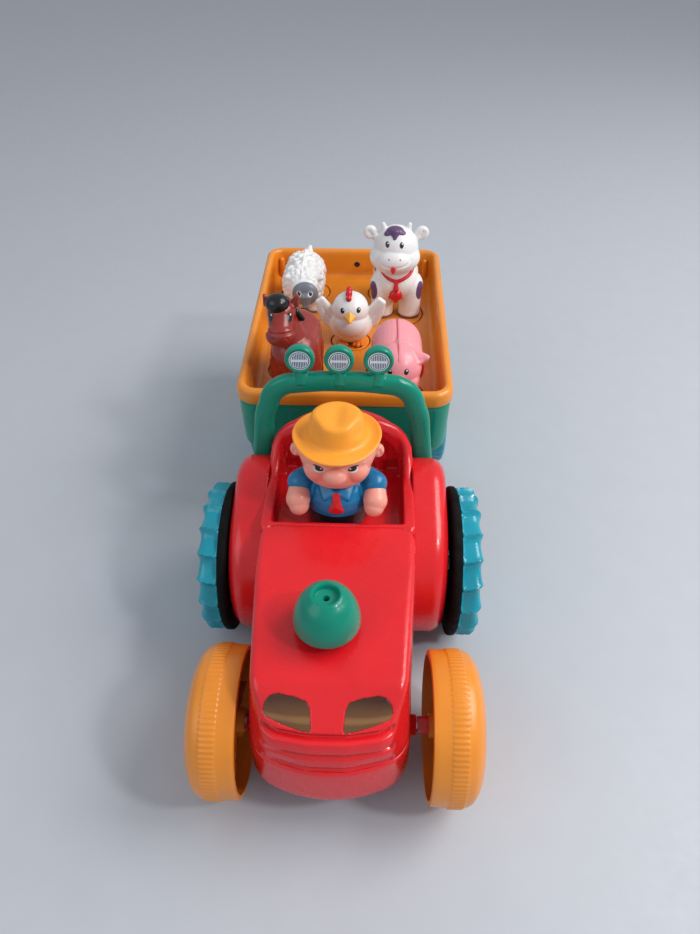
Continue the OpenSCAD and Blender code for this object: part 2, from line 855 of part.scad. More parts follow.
module trailer_body() {
  z1 = rim_z - rim_h;
  color(GREEN) difference() {
    union() {
      difference() {
        translate([0, 0, trailer_z]) linear_extrude(z1 - trailer_z) tray_plan(1, 12);
        translate([0, 0, trailer_z + wall]) linear_extrude(60) tray_plan(1 + wall, 9.5);
      }
      for (p = TRAILER_BOSSES) translate([p[0], p[1], trailer_z + 1]) cylinder(r = 4, h = 16);
      for (p = [[-52, 100], [52, 100], [-52, 30], [52, 30], [-52, 176], [52, 176]])
        translate([p[0], p[1], trailer_z + 1]) cylinder(r = 2.5, h = sound_z - trailer_z - 1);
    }
    for (p = TRAILER_BOSSES) translate([p[0], p[1], trailer_z - 1]) cylinder(r = screw_r + 0.1, h = 16);
    box([-18, 14, trailer_z - 1], [18, 74, trailer_z + 5]);
    for (x = [-9 : 6 : 9], y = [138 : 6 : 162])
      translate([x, y, trailer_z - 1]) cylinder(r = 1.4, h = 6, $fn = 16);
  }
}

// Outline of a two-lobed key with lobes of radius r
module peanut(x, y, r) {
  for (s = [-1, 1]) translate([x, y + s * lobe_half]) circle(r = r, $fn = 64);
}

module key_holes() {
  peanut(cow_x, rear_row_y, big_lobe_r + key_gap);
  peanut(sheep_x, rear_row_y, small_lobe_r + key_gap);
  peanut(horse_x, front_row_y, big_lobe_r + key_gap);
  peanut(pig_x, front_row_y, small_lobe_r + key_gap);
  translate([chicken_x, round_key_y]) circle(r = round_key_r + key_gap);
}

module trailer_tray() {
  z1 = rim_z - rim_h;
  color(YELLOW) difference() {
    union() {
      translate([0, 0, z1]) linear_extrude(rim_h) tray_plan(0, 13);
      translate([0, 0, tray_z - 2.5]) linear_extrude(z1 - tray_z + 2.5 + EPS) tray_plan(1 + wall + 0.1, 9.4);
    }
    translate([0, 0, tray_z]) linear_extrude(60) tray_plan(tray_wall, 8);
    translate([0, 0, tray_z - 10]) linear_extrude(20) key_holes();
    translate([0, tray_y1 - 1, 108]) rotate([-90, 0, 0]) cylinder(r = 2.2, h = 3, $fn = 24);
  }
}

module drawbar() {
  color(GREEN) difference() {
    union() {
      translate([-7, 0, 0]) rotate([90, 0, 90]) linear_extrude(14) polygon([
        [hitch_y, 40.4], [6, 40.4], [46, 60], [46, trailer_z - 3], [14, trailer_z - 3],
        [0, 47], [hitch_y, 47]
      ]);
      translate([0, hitch_y, 40.4]) cylinder(r = 8, h = 6.6);
    }
    translate([0, hitch_y, 30]) cylinder(r = 3 + FIT, h = 30);
  }
}

module trailer_base() {
  web = 6;
  web_x = 50;
  color(GREEN) difference() {
    union() {
      difference() {
        translate([0, 0, trailer_z - 3]) linear_extrude(3) tray_plan(8, 10);
        box([-18, 14, trailer_z - 5], [18, 74, trailer_z + 1]);
      }
      for (s = [-1, 1]) translate([s * web_x - web / 2, 0, 0]) rotate([90, 0, 90]) linear_extrude(web)
        polygon(concat(
          [[trailer_axle_y + 34, trailer_z - 3 + EPS], [trailer_axle_y - 34, trailer_z - 3 + EPS]],
          arc(trailer_axle_y, trailer_r, 9, 200, 340, 8)
        ));
      for (y = [trailer_axle_y - 12, trailer_axle_y + 9])
        box([-web_x, y, 52], [web_x, y + 3, trailer_z - 3 + EPS]);
    }
    rod_x(-70, trailer_axle_y, trailer_r, axle_r + FIT, 140);
    for (p = TRAILER_BOSSES) translate([p[0], p[1], trailer_z - 5]) {
      cylinder(r = screw_r + 0.3, h = 8);
      cylinder(r = 3, h = 3.2);
    }
    for (x = [-9 : 6 : 9], y = [138 : 6 : 162])
      translate([x, y, trailer_z - 5]) cylinder(r = 1.4, h = 6, $fn = 16);
  }
}

module trailer_battery_door() {
  color(GREEN) difference() {
    box([-17.8, 14.2, trailer_z - 3], [17.8, 73.8, trailer_z - 0.8]);
    for (y = [60 : 3 : 69]) box([-6, y - 0.6, trailer_z - 4], [6, y + 0.6, trailer_z - 2.2]);
    box([-7.2, 10, trailer_z - 5], [7.2, 47, trailer_z - 3 + EPS]);
  }
}

module trailer_batteries() {
  color(BRASS) for (s = [-1, 1]) translate([s * 8, 69, trailer_z + cell_r + 0.2]) rotate([90, 0, 0]) {
    cylinder(r = cell_r, h = cell_len - 1.5);
    translate([0, 0, cell_len - 1.5]) cylinder(r = 2.7, h = 1.5);
  }
}

module sound_board() {
  color(BOARD) difference() {
    box([-60, 22, sound_z], [60, 186, sound_z + 1.6]);
    box([-20, 20, sound_z - 1], [20, 76, sound_z + 3]);
    translate([0, 150, sound_z - 1]) cylinder(r = 21, h = 4);
  }
}

module trailer_speaker() {
  color(BLACK) translate([0, 150, trailer_z + wall]) {
    cylinder(r = 20, h = 3);
    translate([0, 0, 3]) cylinder(r1 = 18, r2 = 11, h = 5);
    translate([0, 0, 8]) cylinder(r = 10, h = 5);
  }
}

module trailer_screws() {
  color(STEEL) for (p = TRAILER_BOSSES) screw([p[0], p[1], trailer_z - 3.7], 14);
}

// The front row's front stems stand a little behind the lobe's middle
STEMS = [
  [sheep_x, rear_row_y - lobe_half], [sheep_x, rear_row_y + lobe_half],
  [cow_x, rear_row_y - lobe_half], [cow_x, rear_row_y + lobe_half],
  [horse_x, front_row_y - lobe_half + 2], [horse_x, front_row_y + lobe_half],
  [pig_x, front_row_y - lobe_half + 2], [pig_x, front_row_y + lobe_half],
  [chicken_x, round_key_y]
];

// Rubber sheet with one dome below each key stem
module key_mat() {
  z = sound_z + 1.6;
  color([0.5, 0.5, 0.52]) union() {
    difference() {
      box([-56, 24, z], [56, 184, z + 1]);
      box([-21, 20, z - 1], [21, 78, z + 3]);
      translate([0, 150, z - 1]) cylinder(r = 21.4, h = 4);
    }
    for (p = STEMS) translate([p[0], p[1], z + 1 - EPS])
      cylinder(r1 = 6, r2 = 4, h = stem_z - z - 1 + EPS);
  }
}

module trailer_axle() {
  color(STEEL) rod_x(-72, trailer_axle_y, trailer_r, axle_r, 144);
}

module trailer_wheel(dir) {
  r = trailer_r;
  w = trailer_wheel_w;
  difference() {
    union() {
      turned_x(dir * trailer_wheel_in, trailer_axle_y, r, dir, [
        [0, r - 4], [0, r - 1.5], [1.5, r], [w - 3, r], [w - 0.8, r - 2.2], [w, r - 6],
        [w - 2, 20], [w - 2, 9], [w, 7], [w, 0], [0.4, 0], [0.4, 6], [w - 4.5, 6.6],
        [w - 4.5, 20], [w - 4, r - 8], [w - 6, r - 4]
      ]);
    }
    rod_x(-72, trailer_axle_y, r, axle_r - 0.02, 144);
  }
}

module trailer_wheel_right() {
  color(BLUE) trailer_wheel(1);
}

module trailer_wheel_left() {
  color(BLUE) trailer_wheel(-1);
}

// ---------- keys ----------

module side_key(x, y, r, front_shift) {
  color(YELLOW) {
    translate([0, 0, key_flange_z + 2]) linear_extrude(tray_z - key_flange_z - 2) peanut(x, y, r);
    translate([0, 0, key_flange_z]) linear_extrude(2 + EPS) peanut(x, y, r + 1.6);
    for (s = [-1, 1]) translate([x, y + s * lobe_half + (s < 0 ? front_shift : 0), stem_z])
      cylinder(r = 3.2, h = key_flange_z - stem_z + 1);
  }
}

module key_cow() {
  side_key(cow_x, rear_row_y, big_lobe_r, 0);
}

module key_sheep() {
  side_key(sheep_x, rear_row_y, small_lobe_r, 0);
}

module key_horse() {
  side_key(horse_x, front_row_y, big_lobe_r, 2);
}

module key_pig() {
  side_key(pig_x, front_row_y, small_lobe_r, 2);
}

module key_chicken() {
  color(YELLOW) translate([chicken_x, round_key_y, 0]) {
    translate([0, 0, key_flange_z + 2]) cylinder(r = round_key_r, h = tray_z - key_flange_z - 2);
    translate([0, 0, key_flange_z]) cylinder(r = round_key_r + 2.2, h = 2 + EPS);
    translate([0, 0, stem_z]) cylinder(r = 3.2, h = key_flange_z - stem_z + 1);
  }
}

// ---------- animals ----------

// Four short legs that stand flat on the key
module legs(x, y, dx, dy, r, top) {
  for (sx = [-1, 1], sy = [-1, 1]) translate([x + sx * dx, y + sy * dy, tray_z])
    cylinder(r1 = r, r2 = r * 0.95, h = top - tray_z);
}

module cow() {
  x = cow_x;
  y = rear_row_y - 2;
  color(WHITE) {
    legs(x, y, 9.6, 16, 7.4, 122);
    capsule([x, y - 14, 126], [x, y + 12, 124], 16.5, 15.5);
    lump([x, y - 19, 151], 18.6, 0.86);
    lump([x, y - 31, 144], 10.5, 0.75);
    for (s = [-1, 1]) {
      capsule([x + s * 8, y - 18, 162], [x + s * 9.5, y - 18, 170], 3, 1.4);
      capsule([x + s * 15, y - 17, 158], [x + s * 19.5, y - 17, 162], 3.2, 4);
    }
  }
}

module sheep() {
  x = sheep_x + 1;
  y = rear_row_y - 1;
  color(WHITE) {
    legs(x, y, 8, 13, 6, 112);
    capsule([x, y - 12, 118], [x, y + 14, 119], 17.2, 16);
    lump([x, y - 26, 119], 10.5, 1.05);
    for (s = [-1, 1]) capsule([x + s * 13, y - 12, 126], [x + s * 19, y - 12, 127], 3, 2);
  }
}

module horse() {
  x = horse_x + 1;
  y = front_row_y;
  color(BROWN) {
    legs(x, y, 9.4, 13, 7, 122);
    capsule([x, y - 10, 127], [x, y + 15, 127], 16.5, 16);
    capsule([x - 2, y - 10, 134], [x - 5, y - 6, 154], 10, 10.4);
    capsule([x - 6, y - 8, 155], [x - 12, y - 22, 147], 10.4, 8.4);
    for (s = [-1, 1]) capsule([x - 6 + s * 7, y - 4, 162], [x - 6 + s * 8.4, y - 3, 169], 3, 1.6);
  }
}

module pig() {
  x = pig_x;
  y = front_row_y;
  color(PINK) {
    legs(x, y, 9, 13, 6, 112);
    capsule([x, y - 6, 120], [x, y + 12, 121], 17.5, 17.5);
    lump([x, y - 19, 124], 15);
    translate([x, y - 36, 120]) rotate([-90, 0, 0]) cylinder(r = 5.5, h = 8);
    for (s = [-1, 1]) capsule([x + s * 9, y - 17, 136], [x + s * 15, y - 20, 139], 3.4, 2.2);
  }
}

module chicken() {
  x = chicken_x;
  y = round_key_y;
  color(WHITE) {
    translate([x, y, tray_z]) cylinder(r1 = 11, r2 = 9.5, h = 6);
    lump([x, y, 111], 15, 0.9);
    lump([x, y - 3, 123], 13, 0.95);
    for (s = [-1, 1]) capsule([x + s * 12, y, 113], [x + s * 21, y - 1, 128], 5, 2.4);
    capsule([x, y - 4, 135], [x, y + 1, 137], 2, 2);
    capsule([x, y - 14, 121], [x, y - 18, 120], 3, 1.2);
  }
}

lower_body();
hood();
cab();
fender_left();
fender_right();
base_plate();
battery_door();
headlamp_lenses();
headlamp_reflectors();
headlamp_leds();
roll_bar();
lamp_decals();
motor();
gearbox_housing();
batteries();
battery_contacts();
circuit_board();
speaker();
body_screws();
hitch_peg();
stack_button();
stack_spring();
power_switch();
front_axle();
front_wheel_left();
front_wheel_right();
rear_axle();
rear_wheel_left();
rear_wheel_right();
rear_tyre_left();
rear_tyre_right();
axle_gear();
reduction_gear();
motor_pinion();
farmer_body();
farmer_head();
farmer_hat();
trailer_body();
trailer_tray();
drawbar();
trailer_base();
trailer_battery_door();
trailer_batteries();
sound_board();
trailer_speaker();
trailer_screws();
key_mat();
trailer_axle();
trailer_wheel_left();
trailer_wheel_right();
key_cow();
key_sheep();
key_horse();
key_pig();
key_chicken();
cow();
sheep();
horse();
pig();
chicken();
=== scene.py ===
"""Looks of the toy tractor, its driver, its trailer and its animals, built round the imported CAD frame."""
import math
import random

import bmesh
import bpy
import numpy as np
from mathutils import Matrix, Vector


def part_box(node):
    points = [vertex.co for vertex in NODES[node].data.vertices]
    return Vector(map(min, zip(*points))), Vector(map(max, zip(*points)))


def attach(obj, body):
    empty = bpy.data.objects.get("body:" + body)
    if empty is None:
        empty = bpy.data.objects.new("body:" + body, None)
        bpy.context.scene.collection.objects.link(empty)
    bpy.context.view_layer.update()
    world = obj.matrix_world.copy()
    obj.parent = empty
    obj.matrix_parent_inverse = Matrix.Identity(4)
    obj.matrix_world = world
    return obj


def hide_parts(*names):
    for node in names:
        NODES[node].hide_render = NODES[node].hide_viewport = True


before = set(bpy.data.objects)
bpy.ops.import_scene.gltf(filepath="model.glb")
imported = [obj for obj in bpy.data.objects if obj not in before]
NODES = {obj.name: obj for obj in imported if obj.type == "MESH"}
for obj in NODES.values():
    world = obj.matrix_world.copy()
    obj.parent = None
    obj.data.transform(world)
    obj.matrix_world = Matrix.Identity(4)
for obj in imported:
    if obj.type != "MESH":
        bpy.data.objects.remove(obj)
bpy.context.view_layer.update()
MM = 0.001
COARSE = 1.0
random.seed(7)


# ---------- solids: (points in mm, faces) ----------

def ico_sphere(level):
    bm = bmesh.new()
    bmesh.ops.create_icosphere(bm, subdivisions=level, radius=1.0)
    pts = np.array([v.co[:] for v in bm.verts])
    faces = [tuple(v.index for v in f.verts) for f in bm.faces]
    bm.free()
    return pts, faces


SMALL_BALL, BIG_BALL = ico_sphere(3), ico_sphere(4)


def turn_matrix(yaw=0.0, pitch=0.0, roll=0.0):
    """Roll about Y, then pitch about X, then yaw about Z, in degrees."""
    m = Matrix.Rotation(math.radians(yaw), 3, "Z") @ Matrix.Rotation(math.radians(pitch), 3, "X")
    return np.array(m @ Matrix.Rotation(math.radians(roll), 3, "Y"))


def ball(c, r, k=(1, 1, 1), yaw=0.0, pitch=0.0, roll=0.0):
    """A sphere of radius r, scaled by k, turned, and moved to c."""
    pts, faces = BIG_BALL if r > 6 else SMALL_BALL
    pts = (pts * np.array(k) * r) @ turn_matrix(yaw, pitch, roll).T + np.array(c)
    return pts, faces


def strip_faces(rows, cols, loop_rows):
    """Quads between rows of cols points, each row a closed ring."""
    faces = []
    for i in range(rows if loop_rows else rows - 1):
        a, b = i * cols, ((i + 1) % rows) * cols
        for j in range(cols):
            k = (j + 1) % cols
            faces.append((a + j, a + k, b + k, b + j))
    return faces


def loft(rings, loop=False):
    """A closed skin through rings of equal size; the ends are capped unless the rings form a loop."""
    pts = np.concatenate([np.asarray(r, float) for r in rings])
    cols, rows = len(rings[0]), len(rings)
    faces = strip_faces(rows, cols, loop)
    if not loop:
        for row in (0, rows - 1):
            centre = pts[row * cols:(row + 1) * cols].mean(0)
            pts = np.vstack([pts, centre])
            hub = len(pts) - 1
            for j in range(cols):
                faces.append((row * cols + j, row * cols + (j + 1) % cols, hub))
    return pts, faces


def turned(profile, at, axis="Z", n=72, shape=None):
    """A solid turned about an axis; profile holds (along, radius). It is a closed loop if it starts off 0."""
    loop = min(r for _, r in profile) > 1e-6
    body = profile if loop else profile[1:-1]
    angles = np.arange(n) * 2 * math.pi / n
    rings = []
    for along, radius in body:
        a = np.full(n, float(along))
        r = np.full(n, float(radius))
        if shape is not None:
            a, r = shape(a, r, angles)
        rings.append(np.stack([a, r * np.cos(angles), r * np.sin(angles)], 1))
    pts = np.concatenate(rings)
    faces = strip_faces(len(rings), n, loop)
    if not loop:
        for row, along in ((0, profile[0][0]), (len(rings) - 1, profile[-1][0])):
            pts = np.vstack([pts, [along, 0, 0]])
            for j in range(n):
                faces.append((row * n + j, row * n + (j + 1) % n, len(pts) - 1))
    order = {"X": [0, 1, 2], "Y": [1, 0, 2], "Z": [1, 2, 0]}[axis]
    return pts[:, order] + np.array(at), faces


def rod(a, b, ra, rb, n=40):
    """A capsule from a to b whose radius goes from ra to rb."""
    a, b = np.array(a, float), np.array(b, float)
    d = b - a
    length = np.linalg.norm(d)
    steps = [i * math.pi / 14 for i in range(8)]
    low = [(-ra * math.cos(s), ra * math.sin(s)) for s in steps]
    high = [(length + rb * math.sin(s), rb * math.cos(s)) for s in steps]
    pts, faces = turned(low + high, (0, 0, 0), "X", n)
    q = np.array(Vector((1, 0, 0)).rotation_difference(Vector(d / max(length, 1e-9))).to_matrix())
    return pts @ q.T + a, faces


def chain(points, radii):
    """Capsules through a row of points."""
    return [rod(points[i], points[i + 1], radii[i], radii[i + 1]) for i in range(len(points) - 1)]


def prism(outline, lo, hi, axis="Z"):
    """An outline pushed from lo to hi along an axis."""
    n = len(outline)
    out = np.array(outline, float)
    pts = np.vstack([np.column_stack([out, np.full(n, v)]) for v in (lo, hi)])
    order = {"X": [2, 0, 1], "Y": [0, 2, 1], "Z": [0, 1, 2]}[axis]
    faces = [tuple(range(n)), tuple(range(n, 2 * n))] + strip_faces(2, n, False)
    return pts[:, order], faces


def block(lo, hi):
    return prism([(lo[0], lo[1]), (hi[0], lo[1]), (hi[0], hi[1]), (lo[0], hi[1])], lo[2], hi[2])


def moved(solid, pitch, at):
    """The solid turned about X by pitch degrees, then moved."""
    return solid[0] @ turn_matrix(pitch=pitch).T + np.array(at), solid[1]


def mirrored(solid):
    return solid[0] * np.array([-1, 1, 1]), solid[1]


def corners(node):
    """A CAD node's lowest and highest corners at rest, in mm and to a tenth."""
    return [np.round(np.array(corner) / MM, 1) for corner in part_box(node)]


def middle(node):
    return np.round(sum(corners(node)) / 2, 2)


def cad(node):
    """A CAD node's own mesh, in mm."""
    mesh = NODES[node].data
    pts = np.zeros(len(mesh.vertices) * 3)
    mesh.vertices.foreach_get("co", pts)
    return pts.reshape(-1, 3) / MM, [tuple(p.vertices) for p in mesh.polygons]


def joined(solids):
    pts, faces, start = [], [], 0
    for p, f in solids:
        pts.append(p)
        faces += [tuple(i + start for i in face) for face in f]
        start += len(p)
    return np.concatenate(pts), faces


def hull(points):
    bm = bmesh.new()
    for p in points:
        bm.verts.new(p)
    out = bmesh.ops.convex_hull(bm, input=bm.verts)
    unused = out["geom_interior"] + out["geom_unused"]
    loose = {g for g in unused if isinstance(g, bmesh.types.BMVert)}
    bmesh.ops.delete(bm, geom=list(loose), context="VERTS")
    bm.verts.index_update()
    solid = np.array([v.co[:] for v in bm.verts]), [tuple(v.index for v in f.verts) for f in bm.faces]
    bm.free()
    return solid


def to_object(name, solid):
    mesh = bpy.data.meshes.new(name)
    mesh.from_pydata((solid[0] * MM).tolist(), [], [tuple(map(int, f)) for f in solid[1]])
    bm = bmesh.new()
    bm.from_mesh(mesh)
    bmesh.ops.remove_doubles(bm, verts=bm.verts, dist=1e-7)
    bmesh.ops.recalc_face_normals(bm, faces=bm.faces)
    bm.to_mesh(mesh)
    bm.free()
    obj = bpy.data.objects.new(name, mesh)
    bpy.context.scene.collection.objects.link(obj)
    return obj


def to_solid(obj):
    """An object's mesh, or a curve's surface, after its modifiers; the object is removed."""
    bpy.context.view_layer.update()
    mesh = bpy.data.meshes.new_from_object(obj.evaluated_get(bpy.context.evaluated_depsgraph_get()))
    pts = np.zeros(len(mesh.vertices) * 3)
    mesh.vertices.foreach_get("co", pts)
    faces = [tuple(p.vertices) for p in mesh.polygons]
    old = obj.data
    bpy.data.objects.remove(obj)
    if old.id_type == "MESH":
        bpy.data.meshes.remove(old)
    bpy.data.meshes.remove(mesh)
    return pts.reshape(-1, 3) / MM, faces


def boolean(solid, operation, *others):
    obj = to_object("work", solid)
    tools = []
    for other in others:
        tool = to_object("tool", other)
        tools.append(tool)
        mod = obj.modifiers.new("cut", "BOOLEAN")
        mod.object, mod.operation, mod.solver = tool, operation, "EXACT"
    result = to_solid(obj)
    for tool in tools:
        mesh = tool.data
        bpy.data.objects.remove(tool)
        bpy.data.meshes.remove(mesh)
    return result


def melt(solids, voxel=0.7, rounds=6):
    """One smooth skin over overlapping solids, as a mould would give it."""
    obj = to_object("work", joined(solids))
    mod = obj.modifiers.new("melt", "REMESH")
    mod.mode, mod.voxel_size = "VOXEL", voxel * COARSE * MM
    mod = obj.modifiers.new("smooth", "SMOOTH")
    mod.factor, mod.iterations = 0.5, max(1, int(rounds / COARSE))
    return to_solid(obj)


def normals(solid):
    """Unit normals at the points of a solid."""
    pts, faces = solid
    total = np.zeros_like(pts)
    quads = np.array([f if len(f) == 4 else (*f, f[-1]) for f in faces])
    n = np.cross(pts[quads[:, 2]] - pts[quads[:, 0]], pts[quads[:, 3]] - pts[quads[:, 1]])
    for k in range(4):
        np.add.at(total, quads[:, k], n)
    return total / np.maximum(np.linalg.norm(total, axis=1, keepdims=True), 1e-9)


def bell(x, width):
    return np.exp(-(x / width) ** 2)


def ramp(x, lo, hi):
    """0 below lo, 1 above hi, smooth between."""
    t = np.clip((x - lo) / (hi - lo), 0, 1)
    return t * t * (3 - 2 * t)


def spline(points, steps=8):
    """A smooth path through the points."""
    p = [np.array(q, float) for q in points]
    out = []
    for i in range(len(p) - 1):
        a, b, c, d = p[max(i - 1, 0)], p[i], p[i + 1], p[min(i + 2, len(p) - 1)]
        for t in np.arange(steps) / steps:
            out.append(0.5 * (2 * b + (c - a) * t + (2 * a - 5 * b + 4 * c - d) * t * t
                              + (3 * b - a - 3 * c + d) * t ** 3))
    return out + [p[-1]]


def arc(cx, cy, r, a0, a1, n=8):
    return [(cx + r * math.cos(math.radians(a0 + (a1 - a0) * i / n)),
             cy + r * math.sin(math.radians(a0 + (a1 - a0) * i / n))) for i in range(n + 1)]


# ---------- finishes ----------

class Nodes:
    """Short names for making a material's nodes."""

    def __init__(self, name):
        self.mat = bpy.data.materials.new(name)
        self.mat.use_nodes = True
        self.tree = self.mat.node_tree
        self.shader = self.tree.nodes["Principled BSDF"]
        self.coord = self.tree.nodes.new("ShaderNodeTexCoord").outputs["Object"]

    def new(self, kind, **settings):
        node = self.tree.nodes.new(kind)
        for key, value in settings.items():
            setattr(node, key, value)
        return node

    def link(self, a, b):
        self.tree.links.new(a, b)

    def noise(self, size_mm, detail=3.0):
        node = self.new("ShaderNodeTexNoise")
        node.inputs["Scale"].default_value = 1000.0 / size_mm
        node.inputs["Detail"].default_value = detail
        self.link(self.coord, node.inputs["Vector"])
        return node.outputs["Fac"]

    def ranged(self, value, a, b, c, d):
        node = self.new("ShaderNodeMapRange")
        for key, v in zip(("From Min", "From Max", "To Min", "To Max"), (a, b, c, d)):
            node.inputs[key].default_value = v
        self.link(value, node.inputs["Value"])
        return node.outputs["Result"]

    def vector(self, operation, a, b):
        node = self.new("ShaderNodeVectorMath", operation=operation)
        self.link(a, node.inputs[0])
        if b is not None:
            node.inputs[1].default_value = b
        return node

    def mix(self, fac, a, b):
        node = self.new("ShaderNodeMix", data_type="RGBA")
        self.link(fac, node.inputs["Factor"])
        for value, socket in ((a, node.inputs[6]), (b, node.inputs[7])):
            if isinstance(value, tuple):
                socket.default_value = (*value, 1.0)
            else:
                self.link(value, socket)
        return node.outputs[2]

    def spot(self, c, r, soft=0.03):
        """1 inside the ellipsoid of centre c and radii r in mm, 0 outside."""
        v = self.vector("SUBTRACT", self.coord, tuple(x * MM for x in c)).outputs[0]
        v = self.vector("DIVIDE", v, tuple(x * MM for x in r)).outputs[0]
        return self.ranged(self.vector("LENGTH", v, None).outputs["Value"], 1 - soft, 1 + soft, 1.0, 0.0)

    def side(self, normal, offset, soft=0.25):
        """1 where a point lies further than offset mm along the normal."""
        v = self.vector("DOT_PRODUCT", self.coord, tuple(normal)).outputs["Value"]
        return self.ranged(v, (offset - soft) * MM, (offset + soft) * MM, 0.0, 1.0)


def srgb(r, g, b):
    return tuple(((c / 255 + 0.055) / 1.055) ** 2.4 if c > 10 else c / 255 / 12.92 for c in (r, g, b))


def finish(name, color, rough=0.3, tone=0.08, peel=0.05, peel_mm=1.5, grain=0.0, grain_mm=0.35, paint=(),
           **sockets):
    """A moulded or painted finish: slow tone changes, patchy gloss, a fine peel and grain, painted areas."""
    n = Nodes(name)
    dark = tuple(c * (1 - tone) for c in color)
    light = tuple(min(1.0, c * (1 + tone)) for c in color)
    tint = n.mix(n.ranged(n.noise(22.0, 4.0), 0.3, 0.7, 0.0, 1.0), dark, light)
    for shape, value in paint:
        mask = n.spot(*shape[1:]) if shape[0] == "spot" else n.side(*shape[1:])
        tint = n.mix(mask, tint, value)
    n.link(tint, n.shader.inputs["Base Color"])
    gloss = n.ranged(n.noise(6.0, 5.0), 0.3, 0.72, rough * 0.85, rough * 1.2)
    n.link(gloss, n.shader.inputs["Roughness"])
    bump = n.new("ShaderNodeBump")
    bump.inputs["Strength"].default_value = peel
    bump.inputs["Distance"].default_value = 0.0006
    n.link(n.noise(peel_mm, 2.0), bump.inputs["Height"])
    out = bump.outputs["Normal"]
    if grain:
        fine = n.new("ShaderNodeBump")
        fine.inputs["Strength"].default_value = grain
        fine.inputs["Distance"].default_value = 0.0003
        n.link(n.noise(grain_mm, 1.0), fine.inputs["Height"])
        n.link(out, fine.inputs["Normal"])
        out = fine.outputs["Normal"]
    n.link(out, n.shader.inputs["Normal"])
    for key, value in sockets.items():
        n.shader.inputs[key.replace("_", " ")].default_value = value
    return n.mat


RED = finish("red_abs", srgb(222, 26, 34), 0.26, 0.05, 0.035, Coat_Weight=0.14, Coat_Roughness=0.1)
GREEN = finish("green_abs", srgb(0, 134, 110), 0.25, 0.06, Specular_IOR_Level=0.36, Coat_Weight=0.1,
               Coat_Roughness=0.08)
YELLOW = finish("orange_yellow_abs", srgb(230, 140, 38), 0.32, 0.05, Coat_Weight=0.12, Coat_Roughness=0.15,
                Subsurface_Weight=0.08, Subsurface_Radius=(0.004, 0.002, 0.001), Subsurface_Scale=0.5)
BLUE = finish("blue_abs", srgb(2, 146, 166), 0.26, 0.07, Coat_Weight=0.2, Coat_Roughness=0.12)
RUBBER = finish("black_rubber", (0.0035, 0.0035, 0.004), 0.8, 0.2, 0.08, 1.0, 0.3, Specular_IOR_Level=0.18)
DARK = finish("black_plastic", (0.012, 0.012, 0.014), 0.4, 0.2, 0.05, 1.0, 0.15)
SILICONE = finish("grey_silicone", (0.23, 0.23, 0.25), 0.6, 0.1, 0.05, 1.0, 0.1)
ACETAL = finish("white_acetal", (0.78, 0.77, 0.73), 0.42, 0.05, 0.04, 1.2, 0.05)
STEEL = finish("bright_steel", (0.56, 0.57, 0.6), 0.3, 0.1, 0.04, 0.8, 0.1, Metallic=1.0)
BRASS = finish("turned_brass", (0.72, 0.5, 0.18), 0.3, 0.1, 0.04, 0.8, 0.1, Metallic=1.0)
CHROME = finish("bright_reflector", (0.8, 0.8, 0.82), 0.12, 0.05, 0.02, 2.0, Metallic=1.0)
BOARD = finish("solder_mask", (0.01, 0.13, 0.05), 0.35, 0.2, 0.05, 0.8, 0.1)
CELL = finish("cell_sleeve", (0.5, 0.33, 0.06), 0.28, 0.1, 0.03, 2.0)
# Painted light on the smoked lenses: darker at the top, painted lighter lower down, with a brighter band of
# painted highlight just above the bottom edge
LENS_LIGHT_BANDS = [(("side", (0, 0, -1), -85.2, 1.6), srgb(104, 70, 46)),
              (("side", (0, 0, -1), -82.6, 0.5), srgb(136, 98, 62)),
              (("side", (0, 0, -1), -81.0, 0.4), srgb(108, 76, 48))]
LENS = finish("smoked_lens", srgb(72, 46, 34), 0.3, 0.2, 0.03, 1.2, 0.2, 0.6, LENS_LIGHT_BANDS,
              Specular_IOR_Level=0.3)
LED = finish("clear_led", (0.85, 0.85, 0.9), 0.12, 0.05, 0.02, 2.0, Transmission_Weight=0.6)
STICKER = finish("sticker_pale", srgb(214, 236, 246), 0.32, 0.04, 0.03, 2.0, 0.03)
STICKER_INK = finish("sticker_ink", srgb(8, 52, 104), 0.32, 0.1, 0.03, 2.0, 0.03)


def piece(name, solid, body, slot, mats, *nodes, sharp=40):
    """A finished piece: rides on its body and stands for the CAD nodes named; its slot is not used."""
    obj = to_object(name, solid)
    mats = mats if isinstance(mats, (list, tuple)) else [mats]
    for mat in mats:
        obj.data.materials.append(mat)
    obj.data.shade_smooth()
    obj.data.set_sharp_from_angle(angle=math.radians(sharp))
    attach(obj, body)
    if nodes:
        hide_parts(*nodes)
    return obj


def dress(node, mat):
    """A CAD node that stays, with a finish of its own."""
    mesh = NODES[node].data
    mesh.materials.clear()
    mesh.materials.append(mat)


# ---------- tractor body ----------

HALF_W = 42.3
REAR_Y, SPLIT_Z = corners("lower_body")[1][1:]
HOOD_REAR = corners("hood")[1][1] - 1.4
FRONT_AXLE = middle("front_wheel_right")


